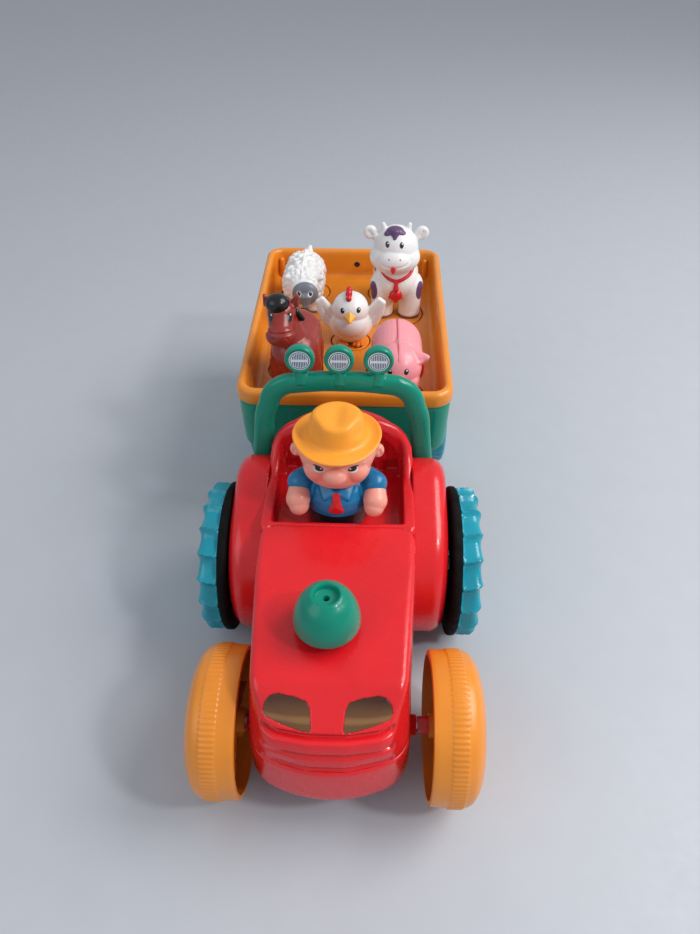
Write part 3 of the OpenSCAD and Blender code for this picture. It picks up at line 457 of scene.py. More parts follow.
def body_plan(inset):
    """Outline of the body: straight sides that taper to a bowed nose."""
    corner, nose_w, cy, bend = 18.0, 39.0, -187.0, 65.0
    cx = nose_w - corner
    bow = cx / math.cos(math.radians(bend))
    bow_y = cy + bow * math.sin(math.radians(bend))
    w = HALF_W - inset
    pts = arc(w - 3, REAR_Y - inset - 3, 3, 0, 90, 4) + arc(-w + 3, REAR_Y - inset - 3, 3, 90, 180, 4)
    pts += [(-w, y) for y in range(-34, -104, -10)]
    side = arc(-cx, cy, corner - inset, 180, 180 + bend, 12)
    pts += [(-w + (side[0][0] + w) * t, -104 + (side[0][1] + 104) * t) for t in np.linspace(0, 0.92, 12)]
    pts += side + arc(0, bow_y, corner + bow - inset, 180 + bend + 2, 360 - bend - 2, 16)
    side = arc(cx, cy, corner - inset, 360 - bend, 360, 12)
    pts += side + [(side[-1][0] + (w - side[-1][0]) * t, -104 + (side[-1][1] + 104) * (1 - t))
                   for t in np.linspace(0.08, 1, 12)]
    pts += [(w, y) for y in range(-94, -24, 10)]
    return pts


def ring_at(z, inset):
    return [(x, y, z) for x, y in body_plan(inset)]


def build_lower_body():
    wall, stub_r, bore_r, edge = 2.5, 5.2, 2.1, 0.6
    rows = [(22.5, 7.4), (22.8, 5.6), (23.6, 4.1), (24.8, 2.9), (26.6, 1.7), (29.0, 0.8), (32.0, 0.2),
            (35.0, 0.01), (44.0, 0.01), (53.6, 0.01), (55.0, 0.15), (55.7, 0.5), (55.95, 1.0), (55.95, wall),
            (40.0, wall), (26.5, wall + 2.0), (24.0, wall + 5.0), (22.5, wall + 6.2)]
    parts = [loft([ring_at(z, inset) for z, inset in rows], loop=True)]
    for lo, hi in ((29.0, 42.9), (-42.9, -29.0)):
        stub = [(lo, bore_r), (lo, stub_r - edge), (lo + edge, stub_r), (hi - edge, stub_r),
                (hi, stub_r - edge), (hi, bore_r)]
        parts.append(turned(stub, (0, *FRONT_AXLE[1:]), "X", 40))
    piece("lower_body_shell", joined(parts), "chassis", "red_plastic", RED, "lower_body", sharp=50)
    trim = prism(body_plan(8.0), 20, 90)
    piece("base_plate_trimmed", boolean(cad("base_plate"), "INTERSECT", trim), "chassis", "red_plastic", RED,
          "base_plate")


def sphere_points(c, r, n=500):
    """Points spread evenly over a sphere."""
    i = np.arange(n) + 0.5
    phi, z = i * math.pi * (3 - math.sqrt(5)), 1 - 2 * i / n
    s = np.sqrt(1 - z * z)
    return np.column_stack([s * np.cos(phi), s * np.sin(phi), z]) * r + np.array(c)


def disc_points(c, r, axis="Z", n=120):
    a = np.arange(n) * 2 * math.pi / n
    flat = {"Z": [np.cos(a), np.sin(a), 0 * a], "X": [0 * a, np.cos(a), np.sin(a)]}[axis]
    return np.column_stack(flat) * r + np.array(c)


def pebbles(rows, at=(0, 0, 0), n=80):
    """The hull of small balls; a row holds a centre, counted from at, and a radius."""
    return hull(np.concatenate([sphere_points(np.add(row[:3], at), row[3], n) for row in rows]))


def hood_hull(inset):
    """The hood's outer form: flat top with tight side edges, a soft brow and a bowed nose."""
    pts = []
    for s in (-1, 1):
        for edge, y, top in ((42.7, -80, 98.7), (41.7, -117, 96.6), (38.2, -152, 94.2)):
            pts.append(sphere_points((s * (edge - 4), y, top - 4), 4 - inset))
        for a in range(30, 91, 10):
            x = 32.7 - 0.035 * (90 - a)
            pts.append(sphere_points((s * x, -179 - 8.5 * math.cos(math.radians(a)),
                                      79.6 + 8.5 * math.sin(math.radians(a))), 4 - inset, 250))
        pts.append(sphere_points((s * 20, -191.5, 68.5), 13.4 - inset))
        pts.append(sphere_points((s * 8, -193.5, 68.5), 13.4 - inset))
        for z in (50, 60):
            pts.append(disc_points((s * 21, -187.6, z), 17 - inset))
            pts.append(disc_points((s * 7, -191.3, z), 17 - inset))
            pts.append(disc_points((s * (HALF_W - 4), -80, z), 4 - inset))
    return hull(np.concatenate(pts))


def lens_outline(grow):
    """One headlamp window seen along its own axis, for the right side."""
    pts = [(7.4, -8.4), (13.0, -7.6), (21.0, -5.0), (28.0, -2.0), (29.2, 0.2), (28.4, 3.8), (26.0, 6.8),
           (22.5, 7.6), (15.0, 6.2), (9.8, 4.4), (8.2, 1.0)]
    mid = np.mean(pts, axis=0)
    return [(x + grow * np.sign(x - mid[0]), y + grow * np.sign(y - mid[1])) for x, y in pts]


def lens_windows(grow):
    out = []
    for side in (1, -1):
        solid = moved(prism(lens_outline(grow), -9, 15), 36, (0, -196, 86))
        out.append(solid if side > 0 else mirrored(solid))
    return out


def build_hood():
    outer, inner = hood_hull(0), hood_hull(3.6)
    corner, w = 9.0, HALF_W
    plan = arc(w - corner, HOOD_REAR - corner, corner, 0, 90, 10)
    plan += arc(-w + corner, HOOD_REAR - corner, corner, 90, 180, 10)
    plan += [(-w - 5, -120), (-w - 5, -230), (w + 5, -230), (w + 5, -120)]
    shell = boolean(outer, "INTERSECT", prism(plan, SPLIT_Z + 0.1, 120))
    stem = turned([(60, 0), (60, 5.9), (120, 5.9), (120, 0)], (0, middle("stack_button")[1], 0), "Z", 64)
    shell = boolean(shell, "DIFFERENCE", inner, stem, *lens_windows(0.1))
    pts, faces = melt([shell], 0.55, 5)
    n = normals((pts, faces))
    x, z = pts[:, 0], pts[:, 2]
    groove = sum(ramp(z, at - 2.6, at + 0.4) * (1 - ramp(z, at + 0.6, at + 1.9)) for at in (77.2, 67.9, 59.0))
    front = (1 - ramp(np.abs(x), 29.0, 31.0)) * ramp(-n[:, 1], 0.1, 0.35) * ramp(-pts[:, 1], 186, 190)
    pts -= n * (3.1 * groove * front)[:, None]
    piece("hood_shell", (pts, faces), "chassis", "red_plastic", RED, "hood", sharp=60)

    lenses = boolean(hood_hull(0.35), "DIFFERENCE", hood_hull(2.3))
    parts = [boolean(lenses, "INTERSECT", window) for window in lens_windows(0.3)]
    piece("smoked_lenses", melt(parts, 0.3, 3), "chassis", "smoke_lens", LENS, "headlamp_lenses", sharp=60)


def arch(inset):
    """Outline of the seat back's arch, seen from the front."""
    a, b, foot_z = HALF_W - 1.7 - inset, 34.0 - inset, 94
    return [(a * math.cos(t), foot_z + b * math.sin(t)) for t in np.radians(range(0, 181, 6))]


def build_cab():
    parts = [cad("cab")]
    under_hood = prism([(-41.6, -91), (-41.6, -108), (41.6, -108), (41.6, -91)], 58, 110)
    parts.append(boolean(hood_hull(2.4), "INTERSECT", under_hood))
    rim = [(39.2, -92, 94.3), (39.2, -76, 94.3), (39.2, -62, 94.4), (39.2, -53, 95.4), (39.2, -46, 98.0),
           (39.0, -40.5, 102.0), (38.0, -36.4, 107.2), (35.8, -34.2, 112.0), (32.0, -33.4, 116.6),
           (27.0, -33.2, 120.0), (20.0, -33.2, 122.8), (10.0, -33.2, 124.5), (0.0, -33.2, 125.0)]
    rim = spline(rim + [(-x, y, z) for x, y, z in reversed(rim[:-1])], 3)
    parts += chain(rim, [3.2] * len(rim))
    for s in (-1, 1):
        for y, z in ((-50, 93.0), (-46, 95.5), (-42, 98.5), (-39, 102.5), (-37, 106)):
            parts.append(rod((s * 38.9, y, 90), (s * 38.8, y + 1.5, z), 3.2, 3.1))
        for x, z in ((37.4, 104), (34.6, 109.5), (30.5, 114), (25, 117.5)):
            parts.append(rod((s * x, -31, 96), (s * x, -31, z), 3.2, 3.2))
        parts.append(rod((s * 24.0, -29.6, 88), (s * 20.0, -29.6, 112), 3.0, 1.8))
    for y in (-33.6, -28.4):
        path = [(x, y, z) for x, z in arch(3.25)]
        parts += chain(path, [3.25] * len(path))
    piece("cab_shell", melt(parts, 0.7, 12), "chassis", "red_plastic", RED, "cab", sharp=60)


def fender_hull(inset):
    """The right fender's outer form: two discs behind each other, with a rounded outer edge."""
    pts, edge, out = [], 10.0, 62.0
    discs = ((-66.0, 48, 47), (-48, 73, 28))
    for k in range(10):
        a = math.radians(k * 10)
        drop = inset + edge * (1 - math.sin(a)) * 0.98
        x = out - inset - edge * (1 - math.cos(a)) * 0.9
        for y, z, r in discs:
            pts.append(disc_points((x, y, z), r - drop, "X", 140))
    for y, z, r in discs:
        pts.append(disc_points((HALF_W - 0.8, y, z), r - inset, "X", 140))
    return hull(np.concatenate(pts))


def build_fenders():
    outer = boolean(fender_hull(0), "INTERSECT", block((30, -140, 22.5), (70, 0, 120)))
    shell = boolean(outer, "DIFFERENCE", fender_hull(2.3))
    right = melt([shell], 0.7, 8)
    piece("fender_shell_right", right, "chassis", "red_plastic", RED, "fender_right", sharp=60)
    piece("fender_shell_left", mirrored(right), "chassis", "red_plastic", RED, "fender_left", sharp=60)


# ---------- roll bar, stack button ----------

def build_roll_bar():
    bar_y = middle("roll_bar")[1]

    def lean(z):
        """Half width of the hoop at a height."""
        return 55.4 - (z - 88) * 0.12

    mid, top, r = 6.0, 146.2, 16.0
    x = lean(147) - mid
    path = [(lean(z) - mid, z) for z in (87.5, 100, 112, 124)]
    path += arc(x - r, top - r, r, 8, 80, 7) + [(12, top + 1.5), (0, top + 1.7)]
    path = [(px, pz) for px, pz in path] + [(-px, pz) for px, pz in reversed(path[:-1])]
    path = spline(path, 6)
    rings = []
    for i, p in enumerate(path):
        d = path[min(i + 1, len(path) - 1)] - path[max(i - 1, 0)]
        side = np.array([-d[1], d[0]]) / np.linalg.norm(d)
        ring = []
        for k in range(32):
            a = k * math.pi / 16
            c, s = math.cos(a), math.sin(a)
            u = mid * math.copysign(abs(c) ** 0.8, c)
            v = 4.3 * math.copysign(abs(s) ** 0.75, s)
            ring.append((p[0] + side[0] * u, bar_y + v, p[1] + side[1] * u))
        rings.append(ring)
    parts = [loft(rings)]
    lamps = [(i * 21.7 - 1.2, 0, 162.9) for i in (-1, 0, 1)]
    for at in lamps:
        pod = [(-24.5, 0), (-24.5, 5.5), (-25.0, 7.0), (-26.4, 8.1), (-28.5, 8.4), (-30.4, 8.4), (-31.3, 8.0),
               (-31.5, 7.4), (-31.5, 6.9), (-31.2, 6.45), (-30.8, 6.4), (-30.8, 0)]
        parts.append(turned(pod, at, "Y", 72))
        parts.append(hull(np.concatenate([disc_points((at[0], bar_y, 148), 5.2, "Z", 40),
                                          disc_points((at[0], bar_y, 156.6), 3.0, "Z", 40)])))
    bar = melt(parts, 0.42, 5)
    piece("roll_bar_hoop", bar, "chassis", "green_plastic", GREEN, "roll_bar", sharp=60)

    # Stickers: a pale disc with a dark ring and two rows of short bars
    face, pale, ink = -30.95, [], []
    for c in lamps:
        disc = [(face + 0.2, 0), (face + 0.2, 5.9), (face - 0.12, 5.9), (face - 0.12, 0)]
        pale.append(turned(disc, c, "Y", 64))
        ink.append(turned([(face, 4.95), (face - 0.2, 4.95), (face - 0.2, 5.35), (face, 5.35)], c, "Y", 64))
        for k in range(-4, 5):
            x = c[0] + k * 0.92
            top = math.sqrt(4.5 ** 2 - (k * 0.92) ** 2)
            for z0, z1 in ((0.75, top), (-top, -0.75)):
                if z1 - z0 > 0.5:
                    ink.append(block((x - 0.24, face - 0.17, c[2] + z0), (x + 0.24, face, c[2] + z1)))
    solid = joined(pale + ink)
    edge = sum(len(p[1]) for p in pale)
    obj = piece("lamp_stickers", solid, "chassis", "decal", [STICKER, STICKER_INK], "lamp_decals", sharp=30)
    for k, poly in enumerate(obj.data.polygons):
        poly.material_index = 0 if k < edge else 1


def build_stack():
    dome = [(118.3, 8.6), (116.0, 11.1), (112.6, 13.3), (108.2, 15.0), (103.8, 15.9), (100.4, 16.1)]
    profile = [(112, 0), (112, 1.45), (115.7, 1.5), (116.1, 1.7), (116.2, 2.2), (116.2, 4.8), (116.4, 5.2),
               (117.6, 5.55), (118.8, 5.9), (119.4, 6.5), (119.4, 7.2), (119.0, 7.9)]
    profile += [tuple(p) for p in spline(dome, 5)]
    profile += [(99.5, 15.9), (98.8, 15.2), (98.4, 14.0), (98.3, 12.8), (98.7, 12.0), (101, 11.7),
                (111.3, 11.7), (111.3, 0)]
    y = middle("stack_button")[1]
    stem = turned([(111.6, 0), (111.6, 5.4), (78, 5.4), (78, 0)], (0, y, 0), "Z", 64)
    button = joined([turned(profile, (-2.0, y, 0), "Z", 112), stem])
    piece("stack_button_cap", button, "stack_button", "green_plastic", GREEN, "stack_button", sharp=35)


# ---------- wheels ----------

def wheel_place(node, s):
    """X of a wheel's inner face, then its axle's Y and its radius; s is 1 on the right and -1 on the left."""
    lo, hi = corners(node)
    return (lo if s > 0 else hi)[0], (lo[1] + hi[1]) / 2, (hi[1] - lo[1]) / 2


SIDES = (("right", 1), ("left", -1))


def build_front_wheels():
    axle_y, r = wheel_place("front_wheel_right", 1)[1:]
    soft = spline([(18, r - 1.0), (21, r - 2.6), (23.6, r - 6.2), (25.4, r - 11), (26, r - 16)], 4)
    outer = [(0, r - 3.4), (0, r - 2.0), (0.35, r - 1.2), (1.2, r - 0.9), (3, r - 0.75), (7.6, r - 0.6),
             (8.6, r - 0.5), (9.0, r - 0.1), (9.3, r), (12.5, r), (15.8, r), (16.1, r - 0.1), (16.5, r - 0.6)]
    outer += [tuple(p) for p in soft]
    hub = [(25.8, 20), (24.6, 18), (24.2, 16.5), (24.2, 11.5), (24.8, 10.2), (26, 9.4), (26, 0)]
    inner = [(0.4, 0), (0.4, 5.4), (1.0, 6), (23.4, 6.6), (23.4, 16.6), (23.2, r - 12), (20.5, r - 7),
             (17, r - 3.8), (8, r - 3.5)]
    count = 92
    sleeve = turned([(43.5, 0), (43.5, 4.3), (52, 4.6), (52, 0)], (0, axle_y, r), "X", 48)
    piece("front_axle_sleeve", sleeve, "front_wheelset", "red_plastic", RED)
    for name, s in SIDES:
        x0 = wheel_place(f"front_wheel_{name}", s)[0]

        def knurl(a, radius, angle, s=s, x0=x0):
            depth = (a - x0) * s
            band = (depth > 8.9) & (depth < 16.2) & (radius > r - 0.3)
            return a, radius - np.where(band, 0.17 * (1 - np.cos(angle * count)), 0.0)

        loop = [(x0 + s * a, rad) for a, rad in inner + outer + hub]
        parts = [turned(loop, (0, axle_y, r), "X", count * 6, knurl)]
        for k in range(6):
            rib, faces = block((x0 + s * 5.0, -1.0, 5), (x0 + s * 23.3, 1.0, 28))
            parts.append((rib @ turn_matrix(pitch=k * 60 + 12).T + (0, axle_y, r), faces))
        piece(f"front_wheel_cup_{name}", joined(parts), "front_wheelset", "yellow_plastic", YELLOW,
              f"front_wheel_{name}", sharp=38)


def build_rear_wheels():
    lugs = 18
    for name, s in SIDES:
        x0, axle_y, r = wheel_place(f"rear_tyre_{name}", s)

        def lug(a, radius, angle, s=s, x0=x0):
            """Curved ridges with a long hollow slope between them, over the tread and its shoulder."""
            depth = (a - x0) * s
            u = (angle * lugs / (2 * math.pi) + 0.012 * (depth - 12)) % 1.0
            ridge = np.where(u < 0.62, (u / 0.62) ** 1.7, ((1 - u) / 0.38) ** 2.6)
            ridge = 0.82 * ridge + 0.18 * bell(u - 0.62, 0.06)
            tread = ramp(radius, r - 12, r - 5) * ramp(depth, 5.2, 6.4)
            end = ramp(depth, 12, 17)
            return a + s * (1.1 * ridge * tread * end - 0.6 * tread * end), radius - 3.6 * (1 - ridge) * tread

        tip = r - 0.4
        rim = [(5.1, r - 7), (5.15, tip - 1.0), (5.7, tip - 0.3), (6.6, tip), (8, tip), (10, tip), (12, tip),
               (13.6, tip - 0.2), (14.9, tip - 0.9), (15.9, tip - 2.0), (16.5, tip - 3.4), (16.8, tip - 5.5),
               (16.7, tip - 8.5)]
        dish = [(16.4, 34), (15.6, 32.2), (13.6, 31), (11.9, 28.5), (11.0, 25), (11.0, 14), (11.8, 12),
                (14.6, 11), (16.2, 10.2), (16.9, 8.8), (17.0, 7.6), (16.0, 6.6), (15.6, 5), (15.8, 0)]
        back = [(2, 0), (2, 6), (8.4, 8), (8.6, 27), (11.2, r - 11), (1, r - 10), (1, r - 7)]
        loop = [(x0 + s * a, rad) for a, rad in back + rim + dish]
        parts = [turned(loop, (0, axle_y, r), "X", lugs * 20, lug)]
        for k in range(6):
            a = math.radians(k * 60)
            c = (x0 + s * 10.8, axle_y + 19.5 * math.cos(a), r + 19.5 * math.sin(a))
            parts.append(ball(c, 4.4, (0.55, 1, 1)))
            b = a + math.radians(30)
            spoke = [(x0 + s * along, axle_y + rad * math.cos(b), r + rad * math.sin(b))
                     for along, rad in ((10.4, 13), (11.6, 28))]
            parts.append(rod(spoke[0], spoke[1], 2.2, 2.6, 24))
        piece(f"rear_wheel_lugs_{name}", joined(parts), "rear_wheelset", "blue_plastic", BLUE,
              f"rear_wheel_{name}", sharp=42)
        tyre = [(0.2, r - 24), (0.2, r - 8), (0, r - 7), (0, r - 1.8), (0.25, r - 0.9), (0.9, r - 0.2),
                (1.8, r), (3.2, r), (4.2, r - 0.2), (4.8, r - 0.8), (5.0, r - 1.6), (5.0, r - 7),
                (0.8, r - 8), (0.8, r - 24)]
        loop = [(x0 + s * a, rad) for a, rad in tyre]
        piece(f"rubber_ring_{name}", turned(loop, (0, axle_y, r), "X", 180), "rear_wheelset", "black_rubber",
              RUBBER, f"rear_tyre_{name}", sharp=40)


def build_trailer_wheels():
    for name, s in SIDES:
        x0, axle_y, r = wheel_place(f"trailer_wheel_{name}", s)

        def tread(a, radius, angle, s=s, x0=x0):
            depth = (a - x0) * s
            band = ramp(radius, r - 2.2, r - 0.6) * ramp(depth, 1.2, 2.4) * (1 - ramp(depth, 12.6, 14))
            return a, radius - 0.8 * band * (0.5 - 0.5 * np.cos(angle * 30)) ** 3

        outer = [(0, r - 4), (0, r - 1.6), (0.4, r - 0.6), (1.4, r), (3, r), (7, r), (11, r), (13, r - 0.1),
                 (14.4, r - 0.9), (15.4, r - 2.4), (16, r - 5), (15.8, r - 8), (14.6, 23.5), (13.6, 20),
                 (13.6, 10.5), (14.4, 9), (15.6, 8), (16, 6.8), (16, 0)]
        inner = [(0.4, 0), (0.4, 6), (11.5, 6.6), (11.5, 20), (12, r - 8), (10, r - 4)]
        loop = [(x0 + s * a, rad) for a, rad in inner + outer]
        parts = [turned(loop, (0, axle_y, r), "X", 240, tread)]
        for k in range(5):
            a = math.radians(k * 72 + 18)
            c = (x0 + s * 13.4, axle_y + 15.2 * math.cos(a), r + 15.2 * math.sin(a))
            parts.append(ball(c, 3.2, (0.5, 1, 1)))
        piece(f"trailer_wheel_disc_{name}", joined(parts), "trailer_wheelset", "blue_plastic", BLUE,
              f"trailer_wheel_{name}", sharp=40)


# ---------- trailer ----------

TRAY_Z = corners("key_cow")[1][2]
TRAY_LO, TRAY_HI = corners("trailer_tray")
FLARE = 3.0


def tray_ring(inset, z, r=12.0):
    """The tray's outline at a height, a little wider at the rear."""
    y0, y1 = TRAY_LO[1] + inset + r, TRAY_HI[1] - inset - r
    x1 = TRAY_HI[0] - inset - r
    x0 = x1 - FLARE
    pts = arc(x0, y0, r, -90, 0, 12)
    pts += [(x0 + r + FLARE * t, y0 + (y1 - y0) * t) for t in np.linspace(0.05, 0.95, 14)]
    pts += arc(x1, y1, r, 0, 90, 12) + [(x1 * t, y1 + r) for t in np.linspace(0.9, -0.9, 9)]
    pts += arc(-x1, y1, r, 90, 180, 12)
    pts += [(-(x0 + r) - FLARE * t, y0 + (y1 - y0) * t) for t in np.linspace(0.95, 0.05, 14)]
    pts += arc(-x0, y0, r, 180, 270, 12) + [(x0 * t, y0 - r) for t in np.linspace(-0.9, 0.9, 9)]
    return [(x, y, z) for x, y in pts]


def build_trailer_body():
    # Each row is a height, an inset and a corner radius
    rows = [(72.0, 6.0, 9.0), (72.3, 4.4, 10), (73.2, 3.2, 11), (75.0, 2.3, 11.5), (78.0, 1.9, 12),
            (90, 1.4, 12), (106, 1.0, 12), (109.6, 1.0, 12), (110.0, 1.3, 12), (110.0, 3.4, 9.6),
            (90, 3.8, 9.6), (76, 4.4, 9.4), (74.5, 6, 8.8), (74.5, 14, 8.0), (72.0, 14, 8.0)]
    shell = loft([tray_ring(inset, z, r) for z, inset, r in rows], loop=True)
    floor = prism([(x, y) for x, y, _ in tray_ring(13, 0, 8.0)], 72.1, 74.4)
    piece("trailer_body_shell", joined([shell, floor]), "trailer", "green_plastic", GREEN, "trailer_body",
          sharp=50)


def peanut(x, y, r, half=16.5):
    """Outline of two overlapping lobes."""
    if half == 0:
        return arc(x, y, r, 0, 354, 59)
    meet = math.degrees(math.asin(half / r)) if half < r else 60
    top = arc(x, y + half, r, -meet + 0.5, 180 + meet - 0.5, 40)
    low = arc(x, y - half, r, 180 - meet + 0.5, 360 + meet - 0.5, 40)
    return top + low


# Radius of a key's lobes, and half the distance between them
LOBES = {"cow": (21.2, 16.5), "sheep": (19.4, 16.5), "horse": (21.2, 16.5), "pig": (19.4, 16.5),
         "chicken": (14, 0)}
KEYS = {name: (*middle(f"key_{name}")[:2], *lobes) for name, lobes in LOBES.items()}


def flat_plate(outlines, lo, hi, edge):
    """A plate with holes: the first outline is its edge and the others are holes; its edges are rounded."""
    curve = bpy.data.curves.new("plate", "CURVE")
    curve.dimensions, curve.fill_mode = "2D", "BOTH"
    for outline in outlines:
        line = curve.splines.new("POLY")
        line.points.add(len(outline) - 1)
        for p, (x, y) in zip(line.points, outline):
            p.co = (x * MM, y * MM, 0, 1)
        line.use_cyclic_u = True
    curve.extrude = ((hi - lo) / 2 - edge) * MM
    curve.bevel_depth, curve.bevel_resolution, curve.offset = edge * MM, 2, -edge * MM
    obj = bpy.data.objects.new("plate", curve)
    bpy.context.scene.collection.objects.link(obj)
    pts, faces = to_solid(obj)
    return pts + (0, 0, (lo + hi) / 2), faces


def build_tray():
    rows = [(110.1, 2.4, 11), (110.1, 0.9, 12.4), (110.5, 0.3, 12.8), (111.2, 0.0, 13), (114, 0.0, 13),
            (117.0, 0.0, 13), (118.7, 0.5, 12.6), (119.8, 1.5, 12), (120.4, 2.9, 11), (120.2, 4.3, 10),
            (119.3, 5.3, 9), (117.8, 5.9, 8.4), (115, 6.1, 8), (103, 6.3, 8), (99.6, 6.6, 8), (98.0, 7.4, 8),
            (97.2, 8.6, 7.6), (97.0, 10.2, 7), (94.6, 10.2, 7), (94.6, 4.0, 9), (108, 3.6, 9.4)]
    shell = loft([tray_ring(inset, z, r) for z, inset, r in rows], loop=True)
    outer = [(x, y) for x, y, _ in tray_ring(8.8, 0, 7.4)]
    holes = [peanut(x, y, r + 1.0, half) for x, y, r, half in KEYS.values()]
    floor = flat_plate([outer] + holes, 94.6, TRAY_Z, 0.35)
    # Four soft upright ribs in the corners; the small hole in the rear wall is a dark disc of painted shade
    extra = [rod((s * x, y, 96), (s * x, y, 112), 3.0, 2.2) for x, y in ((60.5, 204.2), (58.2, 8.0))
             for s in (1, -1)]
    piece("tray_insert", joined([shell, floor] + extra), "trailer", "yellow_plastic", YELLOW, "trailer_tray",
          sharp=50)
    # A dark disc on the rear wall: painted shade for the inside of a small hole, in the black plastic finish
    lip = [(206.2, 0), (206.2, 2.2), (205.9, 2.4), (205.6, 2.2), (205.75, 1.7), (206.0, 1.5), (206.0, 0)]
    hole = turned(lip, (3.2, 0, 108), "Y", 32)
    piece("tray_wall_hole_shade", hole, "trailer", "black_plastic", DARK, sharp=50)


def build_keys():
    for name, (x, y, r, half) in KEYS.items():
        plate = flat_plate([peanut(x, y, r, half)], 93.6, TRAY_Z, 0.6)
        flange = flat_plate([peanut(x, y, r + 1.6, half)], 91.8, 93.8, 0.3)
        parts = [plate, flange]
        for dy in ((-half, half) if half else (0,)):
            shift = 2 if dy < 0 and y < 60 else 0
            parts.append(turned([(88, 0), (88, 2.8), (88.4, 3.2), (92.5, 3.2), (92.5, 0)],
                                (x, y + dy + shift, 0), "Z", 32))
        piece(f"{name}_key_plate", joined(parts), f"key_{name}", "yellow_plastic", YELLOW, f"key_{name}",
              sharp=40)


def build_trailer_base():
    for node, name in (("trailer_base", "trailer_chassis_plate"), ("drawbar", "drawbar_arm")):
        piece(name, melt([cad(node)], 0.8, 5), "trailer", "green_plastic", GREEN, node, sharp=60)


# ---------- the figures ----------

SKIN = srgb(236, 158, 140)
INK = (0.006, 0.005, 0.006)
PAPER = (0.80, 0.79, 0.78)
PURPLE = srgb(98, 66, 108)
SCARLET = srgb(205, 22, 30)


def vinyl(name, color, paint=(), rough=0.34, scatter=0.12):
    return finish(name, color, rough, 0.05, 0.06, 1.6, 0.12, 0.5, paint, Subsurface_Weight=scatter,
                  Subsurface_Radius=(0.004, 0.002, 0.0015), Subsurface_Scale=0.4)


def painted(name, body, slot, solid, color, paint=(), rough=0.34, scatter=0.0, *nodes):
    """A piece of painted vinyl."""
    piece(name, solid, body, slot, vinyl(f"{name}_paint", color, paint, rough, scatter), *nodes)


def leg(foot, top, r, top_r, sole, low=99, n=32):
    """A leg that runs up from low into the body, and its foot; sole holds the foot's heights and radii."""
    shape = [(sole[0][0], 0), *sole, (sole[-1][0], 0)]
    return [rod((*foot, low), top, r, top_r, n), turned(shape, (*foot, 0), "Z", n)]


def carve(solid, path, depth, width):
    """Push the skin in along a path."""
    pts, faces = solid
    line = np.array(spline(path, 12))
    d = np.full(len(pts), 1e9)
    for p in line:
        d = np.minimum(d, ((pts - p) ** 2).sum(1))
    push = depth * np.exp(-d / width ** 2)
    return pts - normals(solid) * push[:, None], faces


def eye(c, w, h, look_x=0.0, look_z=0.0, deep=4.0):
    """Paint for a white eye with a dark pupil and a small catch light."""
    x, y, z = c
    catch = (x + look_x + w * 0.2, y, z + look_z + h * 0.34)
    return [(("spot", c, (w, deep, h), 0.06), PAPER),
            (("spot", (x + look_x, y, z + look_z), (w * 0.66, deep, h * 0.82), 0.06), INK),
            (("spot", catch, (w * 0.2, deep, h * 0.2), 0.2), PAPER)]


def dot(c, w, h, color=INK, deep=3.5):
    return (("spot", c, (w, deep, h), 0.08), color)


